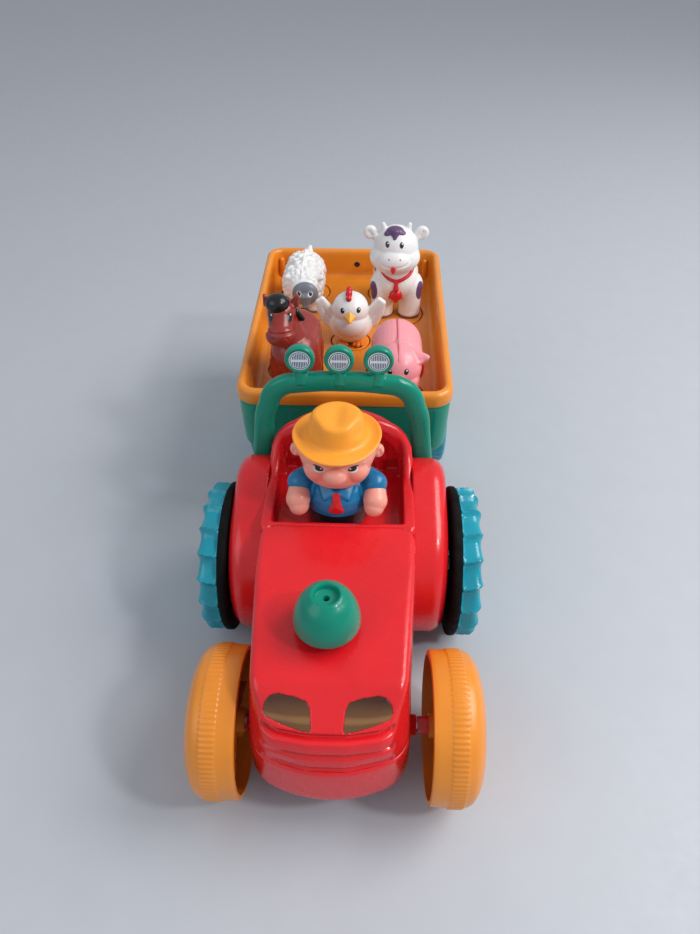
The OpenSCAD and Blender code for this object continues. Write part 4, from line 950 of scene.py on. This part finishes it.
def build_farmer():
    cx, cy = middle("farmer_hat")[:2] - (0.8, 0)
    torso = turned([(85, 0), (85, 13.5), (85.8, 15.2), (88, 17.6), (95, 18.4), (103, 18.9), (108, 18.2),
                    (112, 16.0), (115, 12.8), (117, 8.6), (117.4, 0)], (cx, cy, 0), "Z", 96)
    parts = [torso] + [rod((cx + s * 16.5, cy - 1, 113.4), (cx + s * 20.4, cy - 5.0, 112.8), 6.4, 7.0)
                       for s in (-1, 1)]
    for s in (-1, 1):
        arm = [(cx + s * 12.5, cy, 109.5), (cx + s * 17.5, cy - 2.5, 110), (cx + s * 20.6, cy - 7.5, 108.2)]
        parts += chain(arm, [7.6, 7.4, 6.6])
        collar = ((s * 0.9, -15.0, 113.6, 0.9), (s * 9.6, -8.6, 116.0, 0.9), (s * 6.6, -16.4, 110.6, 0.8),
                  (s * 4.4, -10, 117, 1.0))
        parts.append(pebbles(collar, (cx, cy, 0)))
    shirt = melt(parts, 0.5, 5)
    for s in (-1, 1):
        cuff = [(cx + s * 18.5, cy - 14.2, 104.5), (cx + s * 13.6, cy - 12.0, 108.4),
                (cx + s * 13.2, cy - 9.0, 113.5)]
        shirt = carve(shirt, cuff, 0.7, 0.9)
    trousers = [(("side", (0, 0, -1), -99.6), INK), (("side", (0, 0, -1), -98.8), srgb(26, 26, 34))]
    painted("farmer_shirt", "farmer", "shirt_vinyl", shirt, srgb(10, 112, 162), trousers, 0.26, 0.0,
            "farmer_body")

    hands = []
    for s in (-1, 1):
        wrist, palm, end = [(cx + s * x, cy + y, z) for x, y, z in (
            (20.8, -8.5, 110.0), (21.0, -13.0, 107.4), (20.4, -15.4, 105.0))]
        hands += [rod(wrist, palm, 5.9, 6.7), rod(palm, end, 6.7, 5.6)]
    painted("farmer_hands", "farmer", "skin_vinyl", melt(hands, 0.4, 6), SKIN, (), 0.36, 0.2)

    knot = pebbles(((-1.5, -15.2, 113.4, 0.9), (1.5, -15.2, 113.4, 0.9), (-1.2, -17.0, 110.6, 0.9),
                    (1.2, -17.0, 110.6, 0.9)), (cx, cy, 0), 60)
    blade = pebbles(((-1.1, -17.0, 110.8, 0.8), (1.1, -17.0, 110.8, 0.8), (-3.6, -18.7, 104.0, 0.8),
                     (3.6, -18.7, 104.0, 0.8), (0, -19.2, 103.4, 0.8), (0, -19.0, 107, 0.8)), (cx, cy, 0), 60)
    painted("farmer_tie", "farmer", "red_plastic", melt([knot, blade], 0.3, 2), SCARLET, (), 0.28)

    parts = [ball((cx, cy, 133), 19.3, (1.07, 0.98, 0.94)),
             ball((cx, cy - 5, 125.8), 15.0, (1.22, 0.95, 0.8)),
             ball((cx - 0.4, cy - 20.0, 130.4), 5.6, (1.12, 0.85, 0.9))]
    for s in (-1, 1):
        parts.append(ball((cx + s * 9.4, cy - 11.4, 128.0), 7.6, (1, 0.9, 0.85)))
        parts.append(ball((cx + s * 22.0, cy - 1.0, 133.0), 3.9, (0.8, 0.9, 1.05)))
        parts.append(rod((cx + s * 14, cy - 12.8, 134.8), (cx + s * 4.2, cy - 17.6, 136.6), 1.3, 1.5, 24))
    head = melt(parts, 0.5, 4)
    for s in (-1, 1):
        head = carve(head, [(cx + s * 22.9, cy - 4.2, 134.4), (cx + s * 23.2, cy - 3.6, 131.8)], 1.1, 1.3)
    smile = [(cx - 7, cy - 19.4, 124.6), (cx, cy - 21.3, 123), (cx + 7, cy - 19.4, 124.6)]
    head = carve(head, smile, 0.9, 0.9)
    head = boolean(head, "DIFFERENCE", block((-60, -110, 142.3), (60, -30, 170)))
    face = []
    # Eyes: a white, a dark pupil, a dark lid line and a small white dot of painted highlight
    for x, z, lean in ((-9.4, 133.0, 1), (7.8, 133.2, -1)):
        face += [dot((x - lean * 0.3, cy - 16.5, z - 0.3), 2.7, 1.8, PAPER, 6),
                 dot((x, cy - 16.5, z + 0.1), 2.4, 1.6, INK, 6),
                 dot((x - lean * 1.0, cy - 16.5, z + 1.5), 2.3, 0.6, INK, 6),
                 dot((x + lean * 1.0, cy - 16.5, z + 0.5), 0.45, 0.4, PAPER, 6)]
    blush = [(("spot", (cx + s * 10.5, cy - 17.0, 127.6), (4.6, 5, 3.6), 0.5), srgb(238, 140, 124))
             for s in (-1, 1)]
    painted("farmer_face", "farmer", "skin_vinyl", head, SKIN, blush + face, 0.34, 0.2, "farmer_head")

    hat = turned([(141.5, 0), (141.5, 18), (141.3, 21.6), (141.2, 22.9), (141.7, 23.6), (142.4, 23.5),
                  (142.8, 22.6), (142.9, 20.4), (143.0, 18.0), (143.5, 16.6), (144.8, 15.7), (147, 15.1),
                  (150, 14.5), (152.6, 14.0), (154.4, 13.4), (155.5, 12.5), (156.2, 10.8), (156.4, 6),
                  (156.4, 0)], (cx, cy, 0), "Z", 120)
    pts, faces = melt([hat], 0.45, 2)
    x, y = pts[:, 0] - cx, pts[:, 1] - cy
    crown = ramp(pts[:, 2], 147, 155)
    dent = bell(x, 4.6) * ramp(-y, -14, -2) * (1 - 0.6 * ramp(-y, 6, 13))
    pts[:, 2] -= 1.7 * crown * dent + 0.7 * crown * ramp(y, 2, 12)
    pinch = ramp(pts[:, 2], 146, 150) * bell(y + 9.0, 6.0) * bell(np.abs(x) - 12.5, 4.0)
    pts[:, 0] -= np.sign(x) * 1.1 * pinch
    pts[:, 1] += 0.5 * pinch
    r = np.hypot(x, y)
    pts[:, 2] += ramp(r, 18.5, 23.5) * (1.5 * (x / 23.5) ** 2 - 1.3 * ramp(-y, 4, 22))
    painted("farmer_hat_shell", "farmer", "straw_vinyl", (pts, faces), srgb(250, 160, 44), (), 0.4, 0.1,
            "farmer_hat")


def build_cow():
    x, y = 35.0, 158.5
    parts = [rod((x, y - 13.5, 126), (x, y + 11, 124), 16.6, 15.8),
             rod((x - 9, y - 14, 121), (x + 9, y - 14, 121), 11.5, 11.5),
             ball((33.2, 140.5, 152.6), 16.6, (1.0, 0.98, 0.98)),
             ball((32.6, 137.5, 147.0), 17.6, (1.06, 0.86, 0.72)),
             ball((32.0, 128.8, 147.6), 11.4, (1.12, 0.8, 0.78)),
             rod((33.8, 142, 134), (33.4, 141, 142), 12.5, 12.5)]
    for s in (-1, 1):
        sole = [(97.05, 7.6), (97.6, 8.3), (101, 8.6), (104, 8.2)]
        parts += leg((x + s * 10.6, y - 16.4), (x + s * 10.4, y - 16.0, 120), 8.2, 9.2, sole, 98.4, 40)
        sole = [(97.05, 6.8), (97.6, 7.4), (101, 7.5), (104, 7.2)]
        parts += leg((x + s * 9.6, y + 15.8), (x + s * 9.6, y + 12, 120), 7.3, 8.4, sole, 98.4, 40)
        parts.append(rod((33.0 + s * 7.8, 142, 163), (33.0 + s * 9.6, 142.0, 169.4), 3.4, 1.6, 24))
        parts.append(rod((33.0 + s * 13.5, 143, 158.5), (33.0 + s * 18.4, 143, 163.2), 3.0, 4.0, 24))
        parts.append(ball((33.0 + s * 18.9, 142.4, 163.2), 5.2, (1.0, 0.6, 1.0)))
    parts.append(rod((x, y + 27, 128), (x + 3, y + 29, 112), 2.0, 1.6, 20))
    cow = melt(parts, 0.5, 5)
    for s in (-1, 1):
        cow = carve(cow, [(33.0 + s * 18.2, 139.4, 162.2), (33.0 + s * 19.4, 139.4, 164)], 1.5, 2.0)
    cow = carve(cow, [(20.6, 126.5, 149.5), (24.5, 121.6, 146.5), (32, 119.4, 145.2), (39.6, 121.6, 146.5),
                      (43.4, 126.5, 149.5)], 0.9, 0.8)
    cow = carve(cow, [(x, y - 26, 97), (x, y - 26.5, 104), (x, y - 26, 112)], 2.2, 1.1)
    paint = [(("spot", c, r, 0.04), PURPLE) for c, r in (
        ((17.4, 138.5, 119.0), (4.4, 5.4, 7.2)), ((52.8, 138.5, 119.4), (4.4, 5.4, 7.2)),
        ((41, 166, 141.5), (8, 8.5, 5)), ((20.0, 165, 128), (5, 8, 7)), ((47.5, 172, 112), (6, 6, 6)))]
    for ex, ey in ((26.4, 127.4), (36.6, 125.8)):
        paint += eye((ex, ey, 160.0), 2.3, 2.5, 0.2, 0.2, 6)
    paint += [dot((32 + s * 4.2, 119.6, 151.6), 0.8, 0.6, srgb(150, 120, 120)) for s in (-1, 1)]
    paint += [(("side", (0, 0, -1), -99.4), srgb(120, 92, 100))]
    painted("cow_figure", "cow", "white_vinyl", cow, PAPER, paint, 0.3, 0.25, "cow")

    tuft = [ball((32.0, 136.4, 166.3), 6.6, (1.0, 0.9, 0.55)), ball((27.6, 134.8, 165.2), 3.6, (1, 0.9, 0.7)),
            ball((36.4, 134.6, 165.4), 3.6, (1, 0.9, 0.7)),
            rod((32.0, 132.4, 166.2), (31.8, 129.6, 163.8), 3.6, 1.5, 24)]
    painted("cow_forelock", "cow", "white_vinyl", melt(tuft, 0.35, 3), PURPLE)
    band = spline([(21.6, 143, 139), (24.6, 134.6, 134.8), (29.2, 130.3, 132.2), (34.2, 128.9, 131.2),
                   (39.2, 130.1, 132.4), (44.6, 134.4, 135.0), (47.6, 143, 139.4)], 5)
    band = chain(band, [1.35] * len(band))
    bell_parts = [rod((34.2, 128.4, 130.6), (34.1, 127.6, 125.6), 1.3, 2.3, 24),
                  ball((34.2, 129.6, 119.6), 5.0, (1, 0.72, 1.0)),
                  rod((30.4, 130.6, 117.4), (38.0, 130.6, 117.4), 1.7, 1.7, 20),
                  ball((34.3, 131.2, 114.6), 2.3)]
    painted("cow_bell_collar", "cow", "red_plastic", melt(band + bell_parts, 0.32, 2), SCARLET, (), 0.26)
    tongue = melt([ball((31.2, 119.3, 145.0), 1.9, (1, 0.7, 1.2)),
                   ball((31.2, 119.0, 143.4), 1.5, (1, 0.8, 1.1))], 0.25, 2)
    painted("cow_tongue", "cow", "red_plastic", tongue, srgb(214, 34, 44), (), 0.25)


def build_sheep():
    x, y = -37.5, 159.5
    core = [rod((x, y - 12, 117), (x, y + 12, 117.6), 15.0, 14.4),
            ball((x + 1.5, y - 24, 120), 10.5, (1.05, 0.9, 1.0))]
    wool = []
    for p in sphere_points((0, 0, 0), 1.0, 230):
        off = -12.0 if p[1] < -0.05 else (13.0 if p[1] > 0.05 else random.uniform(-12, 13))
        c = np.array([x, y + off, 117.4]) + p * 14.4
        wool.append(ball(c, random.uniform(1.9, 2.9), (1, 1, random.uniform(0.8, 1.1))))
    for k in range(90):
        a = random.uniform(-0.4, math.pi + 0.4)
        c = (x + 14.5 * math.cos(a), y + random.uniform(-12, 12), 117.4 + 14.5 * math.sin(a))
        wool.append(ball(c, random.uniform(1.9, 2.8)))
    for k in range(26):
        a = k * 2.4
        wool.append(ball((x + 1.5 + 8.6 * math.cos(a), y - 22.5 - 0.06 * k, 123.5 + 6.0 * math.sin(a)), 2.7))
    legs = []
    for sx in (-1, 1):
        for sy in (-1, 1):
            sole = [(97.05, 5.0), (97.8, 5.8), (101, 5.9)]
            legs += leg((x + sx * 8, y + sy * 13), (x + sx * 8, y + sy * 12, 110), 5.6, 6.0, sole)
        ear = (x + 1.5 + sx * 13.2, y - 18.6, 127.4)
        legs.append(rod((x + 1.5 + sx * 9, y - 18, 126.6), ear, 2.6, 2.2, 24))
    legs.append(rod((x + 2.2, y + 26, 126), (x + 2.6, y + 30.5, 130), 3.6, 1.8, 24))
    pts, faces = melt(core + wool + legs, 0.5, 3)
    pts[:, 2] += 0.55 * bell(pts[:, 0] - x, 0.55) * ramp(pts[:, 2], 128, 131)
    hooves = [(("side", (0, 0, -1), -99.2), srgb(120, 120, 124))]
    painted("sheep_figure", "sheep", "white_vinyl", (pts, faces), PAPER, hooves, 0.42, 0.25, "sheep")
    fx = -34.2
    mask = melt([ball((fx, y - 31.6, 120.6), 9.6, (1.04, 0.5, 0.98)),
                 rod((fx, y - 32.6, 118), (fx + 0.4, y - 34.8, 112.6), 6.4, 2.9, 32)], 0.35, 4)
    mask = carve(mask, [(fx, y - 37.0, 124), (fx, y - 38.0, 119), (fx + 0.4, y - 37.6, 114)], 0.45, 0.7)
    paint = []
    for s in (-1, 1):
        paint += eye((fx + s * 4.3, y - 35.6, 122.6), 1.8, 2.3, 0, 0.1, 5)
    painted("sheep_face", "sheep", "grey_rubber", mask, srgb(118, 124, 134), paint, 0.38)


def build_chicken():
    x, y = 1.0, 101.0
    parts = [ball((x, y + 1.4, 112.0), 15.6, (1.04, 1.0, 0.94)),
             ball((x, y - 3, 125.0), 13.0, (1.0, 0.98, 0.96)),
             ball((x, y - 6.6, 115.5), 11.8, (1.06, 0.9, 0.95)),
             rod((x, y + 10, 114), (x, y + 17.5, 123.5), 6.5, 2.6), ball((x, y, 103.5), 10.0, (1, 1, 0.6))]
    for s in (-1, 1):
        wing = ((s * 9, 0.5, 107.5, 3.4), (s * 10.5, 0, 117, 3.0), (s * 20.4, -1.6, 131.6, 2.0),
                (s * 23.4, -1.8, 129.4, 2.0), (s * 22.2, -0.8, 121.5, 2.2), (s * 18.0, 0, 112.5, 2.6))
        parts.append(pebbles(wing, (x, y, 0), 90))
    bird = melt(parts, 0.45, 5)
    for s in (-1, 1):
        for k in range(3):
            low = (x + s * (13.5 + 2.2 * k), y - 3.4, 114.5 + 2.4 * k)
            bird = carve(bird, [low, (x + s * (16.4 + 1.6 * k), y - 3.8, 120.5 + 2.4 * k)], 0.6, 0.8)
    paint = []
    # Dark eyes, each with a small white dot of painted highlight
    for ex, ez in ((-4.9, 128.8), (6.4, 129.2)):
        paint += [dot((x + ex - 0.4, y - 13, ez), 1.5, 1.9, INK, 4),
                  dot((x + ex + 0.1, y - 13, ez + 0.7), 0.45, 0.5, PAPER, 4)]
    painted("chicken_figure", "chicken", "white_vinyl", bird, PAPER, paint, 0.3, 0.25, "chicken")
    comb = [ball((x - 1.0, y - 9.6, 136.2), 2.4, (0.9, 1, 1.0)),
            ball((x - 1.0, y - 6.4, 138.2), 2.9, (0.85, 1, 1.1)),
            ball((x - 0.8, y - 2.4, 139.0), 2.6, (0.85, 1, 1.1)),
            rod((x - 0.8, y - 9, 135), (x - 0.8, y - 1, 137), 2.0, 2.0, 24)]
    painted("chicken_comb", "chicken", "red_plastic", melt(comb, 0.3, 3), SCARLET, (), 0.26)
    beak = pebbles(((-4.4, -13.6, 125.8, 0.9), (4.4, -13.6, 125.8, 0.9), (0, -14.0, 128.0, 1.4),
                    (0, -19.2, 122.6, 0.9), (0, -13.6, 121.4, 1.2)), (x, y, 0), 90)
    gape = [rod((x + s * 6.0, y - 12.9, 126.0), (x, y - 15.6, 124.4), 1.0, 1.3, 20) for s in (-1, 1)]
    beak = melt([beak] + gape, 0.28, 2)
    painted("chicken_beak", "chicken", "yellow_plastic", beak, srgb(244, 176, 40), (), 0.28, 0.05)
    feet = []
    for s in (-1, 1):
        for toe in (-2.8, 0, 2.8):
            tip = (x + s * (5.5 + toe), y - 10.5 + abs(toe) * 0.5, 98.7)
            feet.append(rod((x + s * 5.5, y - 3, 99.5), tip, 2.4, 1.5, 20))
    feet = melt(feet, 0.35, 2)
    painted("chicken_feet", "chicken", "yellow_plastic", feet, srgb(236, 130, 40), (), 0.3, 0.05)


def build_horse():
    x, y = -33.0, 46.0
    parts = [rod((x, y - 10, 126), (x, y + 15, 126.4), 16.4, 15.8),
             rod((x - 1, y - 11, 133), (x - 6, y - 8, 148), 11.0, 9.0),
             ball((-40.4, 37.0, 154.4), 9.3, (1.0, 1.0, 0.98)),
             rod((-40.4, 35, 152), (-40.2, 26.5, 147.8), 8.8, 7.6),
             ball((-40.2, 23.6, 146.2), 8.9, (1.06, 0.84, 0.84))]
    for s in (-1, 1):
        for sy in (-1, 1):
            parts.append(rod((x + s * 9.3, y + sy * 13, 99), (x + s * 9.2, y + sy * 12, 120), 6.8, 8.0))
            foot = [(97.05, 0), (97.05, 6.4), (97.8, 7.1), (102, 6.9), (102, 0)]
            parts.append(turned(foot, (x + s * 9.3, y + sy * 13, 0), "Z", 36))
        parts.append(pebbles(((s * 6.4, 0, 159, 2.4), (s * 9.4, -1.4, 160.2, 2.0), (s * 10.4, 0, 165.4, 1.1)),
                             (-40.4, 39, 0)))
    horse = melt(parts, 0.5, 5)
    noseband = [(-49.6, 27.0, 148.2), (-46.8, 20.4, 149.8), (-40.2, 17.2, 150.6), (-33.6, 20.4, 149.8),
                (-30.8, 27.0, 148.2)]
    horse = carve(horse, noseband, 0.9, 1.0)
    horse = carve(horse, [(-47.2, 21.5, 142.8), (-40.2, 16.6, 142.2), (-33.2, 21.5, 142.8)], 0.7, 0.7)
    for s in (-1, 1):
        horse = carve(horse, [(-40.4 + s * 8.6, 35.6, 160.6), (-40.4 + s * 9.4, 36.2, 163.4)], 1.0, 1.1)
        horse = carve(horse, [(-39.6 + s * 4.3, 16.6, 148), (-39.6 + s * 5.0, 16.8, 146.8)], 0.8, 0.9)
    paint = []
    # Dark eyes, each with a small white dot of painted highlight
    for ex in (-46.6, -34.6):
        paint += [dot((ex, 28.6, 155.8), 1.8, 2.4, INK, 5), dot((ex + 0.6, 28.6, 156.8), 0.5, 0.6, PAPER, 5)]
    paint += [(("side", (0, 0, -1), -103.0), srgb(60, 26, 26))]
    painted("horse_figure", "horse", "brown_vinyl", horse, srgb(142, 44, 36), paint, 0.24, 0.1, "horse")
    mane = [ball((-42.4, 34.6, 162.2), 7.5, (1.02, 0.95, 0.82)),
            rod((-42, 36, 160.5), (-39.4, 45, 157.5), 5.6, 4.4),
            rod((-39.4, 45, 157.5), (-36.5, 47.5, 145), 4.4, 4.0)]
    mane.append(pebbles(((-30.8, 38, 155.0, 1.4), (-27.2, 37.6, 150.0, 1.4), (-33.0, 38.6, 149.4, 1.6),
                         (-34, 44, 153, 3.0))))
    hair = finish("mane_paint", (0.008, 0.008, 0.009), 0.2, 0.1, 0.06, 1.4, 0.06)
    piece("horse_mane", melt(mane, 0.4, 4), "horse", "black_plastic", hair)
    tail = chain([(x, y + 29, 131), (x + 1, y + 33, 122), (x, y + 32, 108)], [4.0, 3.4, 1.6])
    hair = finish("tail_paint", (0.01, 0.01, 0.011), 0.24, 0.1, 0.06, 1.4, 0.06)
    piece("horse_tail", melt(tail, 0.45, 3), "horse", "black_plastic", hair)


def build_pig():
    x, y = 33.5, 46.0
    parts = [rod((x, y - 5, 119.6), (x, y + 12, 120.4), 17.4, 17.2),
             ball((x, y - 19, 123), 15.4, (1.02, 1.0, 0.96)),
             turned([(-36.0, 0), (-36.0, 4.4), (-35.2, 5.4), (-33, 5.7), (-27, 6.6), (-27, 0)], (x, y, 119.6),
                    "Y", 48)]
    for s in (-1, 1):
        for sy in (-1, 1):
            sole = [(97.05, 5.2), (97.8, 6.0), (101, 6.0)]
            parts += leg((x + s * 9, y + sy * 13), (x + s * 9, y + sy * 12, 110), 5.8, 6.6, sole)
        ear = ((s * 8.5, -18, 133.5, 2.6), (s * 12.0, -24, 129.0, 2.2), (s * 18.6, -21.5, 131.6, 1.6),
               (s * 18.0, -18.5, 127.6, 1.8), (s * 12.6, -17.0, 127.5, 2.4))
        parts.append(pebbles(ear, (x, y, 0)))
        parts.append(ball((x + s * 7.5, y - 27.5, 117.5), 6.0, (1, 0.9, 0.9)))
    curl = [(x + 2.4 * math.cos(a), y + 29 + 0.45 * a, 123 + 2.4 * math.sin(a))
            for a in np.arange(0, 7.5, 0.6)]
    parts += chain(curl, [1.25] * len(curl))
    pig = melt(parts, 0.5, 5)
    seam = [(x, y + 29.5, 118), (x, y + 26, 131), (x, y + 16, 137.4), (x, y + 2, 137.4), (x, y - 10, 137.4),
            (x, y - 22, 137.6), (x, y - 30, 133)]
    pig = carve(pig, seam, 0.5, 0.55)
    for s in (-1, 1):
        pig = carve(pig, [(x + s * 1.9, y - 36.6, 120.8), (x + s * 1.9, y - 36.6, 118.8)], 1.0, 0.8)
        pig = carve(pig, [(x + s * 13.6, y - 24.2, 130.6), (x + s * 16.0, y - 23.2, 130.8)], 1.0, 1.5)
    paint = []
    # Dark eyes, each with a small white dot of painted highlight, and darker pink nostrils
    for s in (-1, 1):
        paint += [dot((x + s * 5.2, y - 32.4, 127.4), 1.5, 1.9, INK, 5),
                  dot((x + s * 5.2 + 0.4, y - 32.4, 128.2), 0.5, 0.5, PAPER, 5),
                  dot((x + s * 1.9, y - 36, 119.8), 0.7, 1.2, srgb(196, 96, 110), 2)]
    # A thin darker pink strip along the seam groove: painted shade in the groove
    line = spline(seam, 5)
    line = joined(chain(line, [0.32] * len(line)))
    painted("pig_seam_shade", "pig", "pink_vinyl", line, srgb(190, 92, 104), (), 0.34, 0.12)
    painted("pig_figure", "pig", "pink_vinyl", pig, srgb(240, 152, 160), paint, 0.32, 0.25, "pig")
    # A scarf round the front of the neck
    around = [math.pi * k / 16 for k in range(33)]
    band = [(x + 16.2 * math.cos(a), y - 11.5 - 3.2 * math.sin(a), 117.2 + 15.6 * math.sin(a))
            for a in around]
    band = sorted((p for p in band if p[2] < 121.5), key=lambda p: math.atan2(p[2] - 125, p[0] - x))
    scarf = melt(chain(band, [2.0] * len(band)), 0.4, 3)
    painted("pig_scarf", "pig", "red_plastic", scarf, SCARLET, (), 0.32)


BUILDERS = (build_lower_body, build_hood, build_cab, build_fenders, build_roll_bar, build_stack,
            build_front_wheels, build_rear_wheels, build_trailer_wheels, build_trailer_body, build_tray,
            build_keys, build_trailer_base, build_farmer, build_cow, build_sheep, build_chicken, build_horse,
            build_pig)
for build in BUILDERS:
    build()


# ---------- CAD nodes that stay ----------

STAY = {
    RED: ("battery_door", "hitch_peg"),
    GREEN: ("trailer_battery_door",),
    STEEL: ("motor", "battery_contacts", "body_screws", "stack_spring", "front_axle", "rear_axle",
            "trailer_axle", "trailer_screws"),
    ACETAL: ("gearbox_housing", "axle_gear", "reduction_gear"),
    BRASS: ("motor_pinion",),
    CHROME: ("headlamp_reflectors",),
    LED: ("headlamp_leds",),
    CELL: ("batteries", "trailer_batteries"),
    BOARD: ("circuit_board", "sound_board"),
    DARK: ("speaker", "trailer_speaker", "power_switch"),
    SILICONE: ("key_mat",),
}
for mat, names in STAY.items():
    for node in names:
        dress(node, mat)


# ---------- stage, light and camera ----------

def build_stage():
    reach, back = 7000, 2500
    floor = to_object("floor", block((-reach, back - reach, -4.0), (reach, back + reach, -0.05)))
    floor.data.materials.append(finish("pale_floor", srgb(184, 188, 195), 0.5, 0.012, 0.02, 3.0))


def light(name, at, target, size, energy, color=(1, 1, 1)):
    data = bpy.data.lights.new(name, "AREA")
    data.shape, data.size, data.energy, data.color = "SQUARE", size, energy, color
    obj = bpy.data.objects.new(name, data)
    obj.location = at
    obj.rotation_euler = (Vector(target) - Vector(at)).to_track_quat("-Z", "Y").to_euler()
    bpy.context.scene.collection.objects.link(obj)


def build_room():
    world = bpy.data.worlds.new("room")
    bpy.context.scene.world = world
    world.use_nodes = True
    background = world.node_tree.nodes["Background"]
    background.inputs["Color"].default_value = (0.80, 0.84, 0.90, 1)
    background.inputs["Strength"].default_value = 0.55


def build_camera():
    """A phone held in front of the tractor and above it."""
    data = bpy.data.cameras.new("camera")
    data.sensor_fit = "HORIZONTAL"
    data.sensor_width = data.lens = 36.0
    camera = bpy.data.objects.new("camera", data)
    camera.location = (0.0153, -0.356, 0.372)
    pitch, yaw = math.radians(41.3), math.radians(1.85)
    look = Vector((-math.sin(yaw) * math.cos(pitch), math.cos(yaw) * math.cos(pitch), -math.sin(pitch)))
    camera.rotation_euler = look.to_track_quat("-Z", "Y").to_euler()
    bpy.context.scene.collection.objects.link(camera)
    bpy.context.scene.camera = camera


build_stage()
light("window", (1.1, 0.1, 1.25), (0, -0.05, 0.05), 0.9, 17.0, (1.0, 0.985, 0.96))
light("glint", (0.75, -0.45, 0.9), (0, -0.1, 0.1), 0.12, 3.6)
light("fill", (-1.2, -0.9, 1.1), (0, 0, 0.05), 1.2, 5.0, (0.93, 0.96, 1.0))
build_room()
build_camera()

bpy.context.scene.view_settings.view_transform = "Standard"
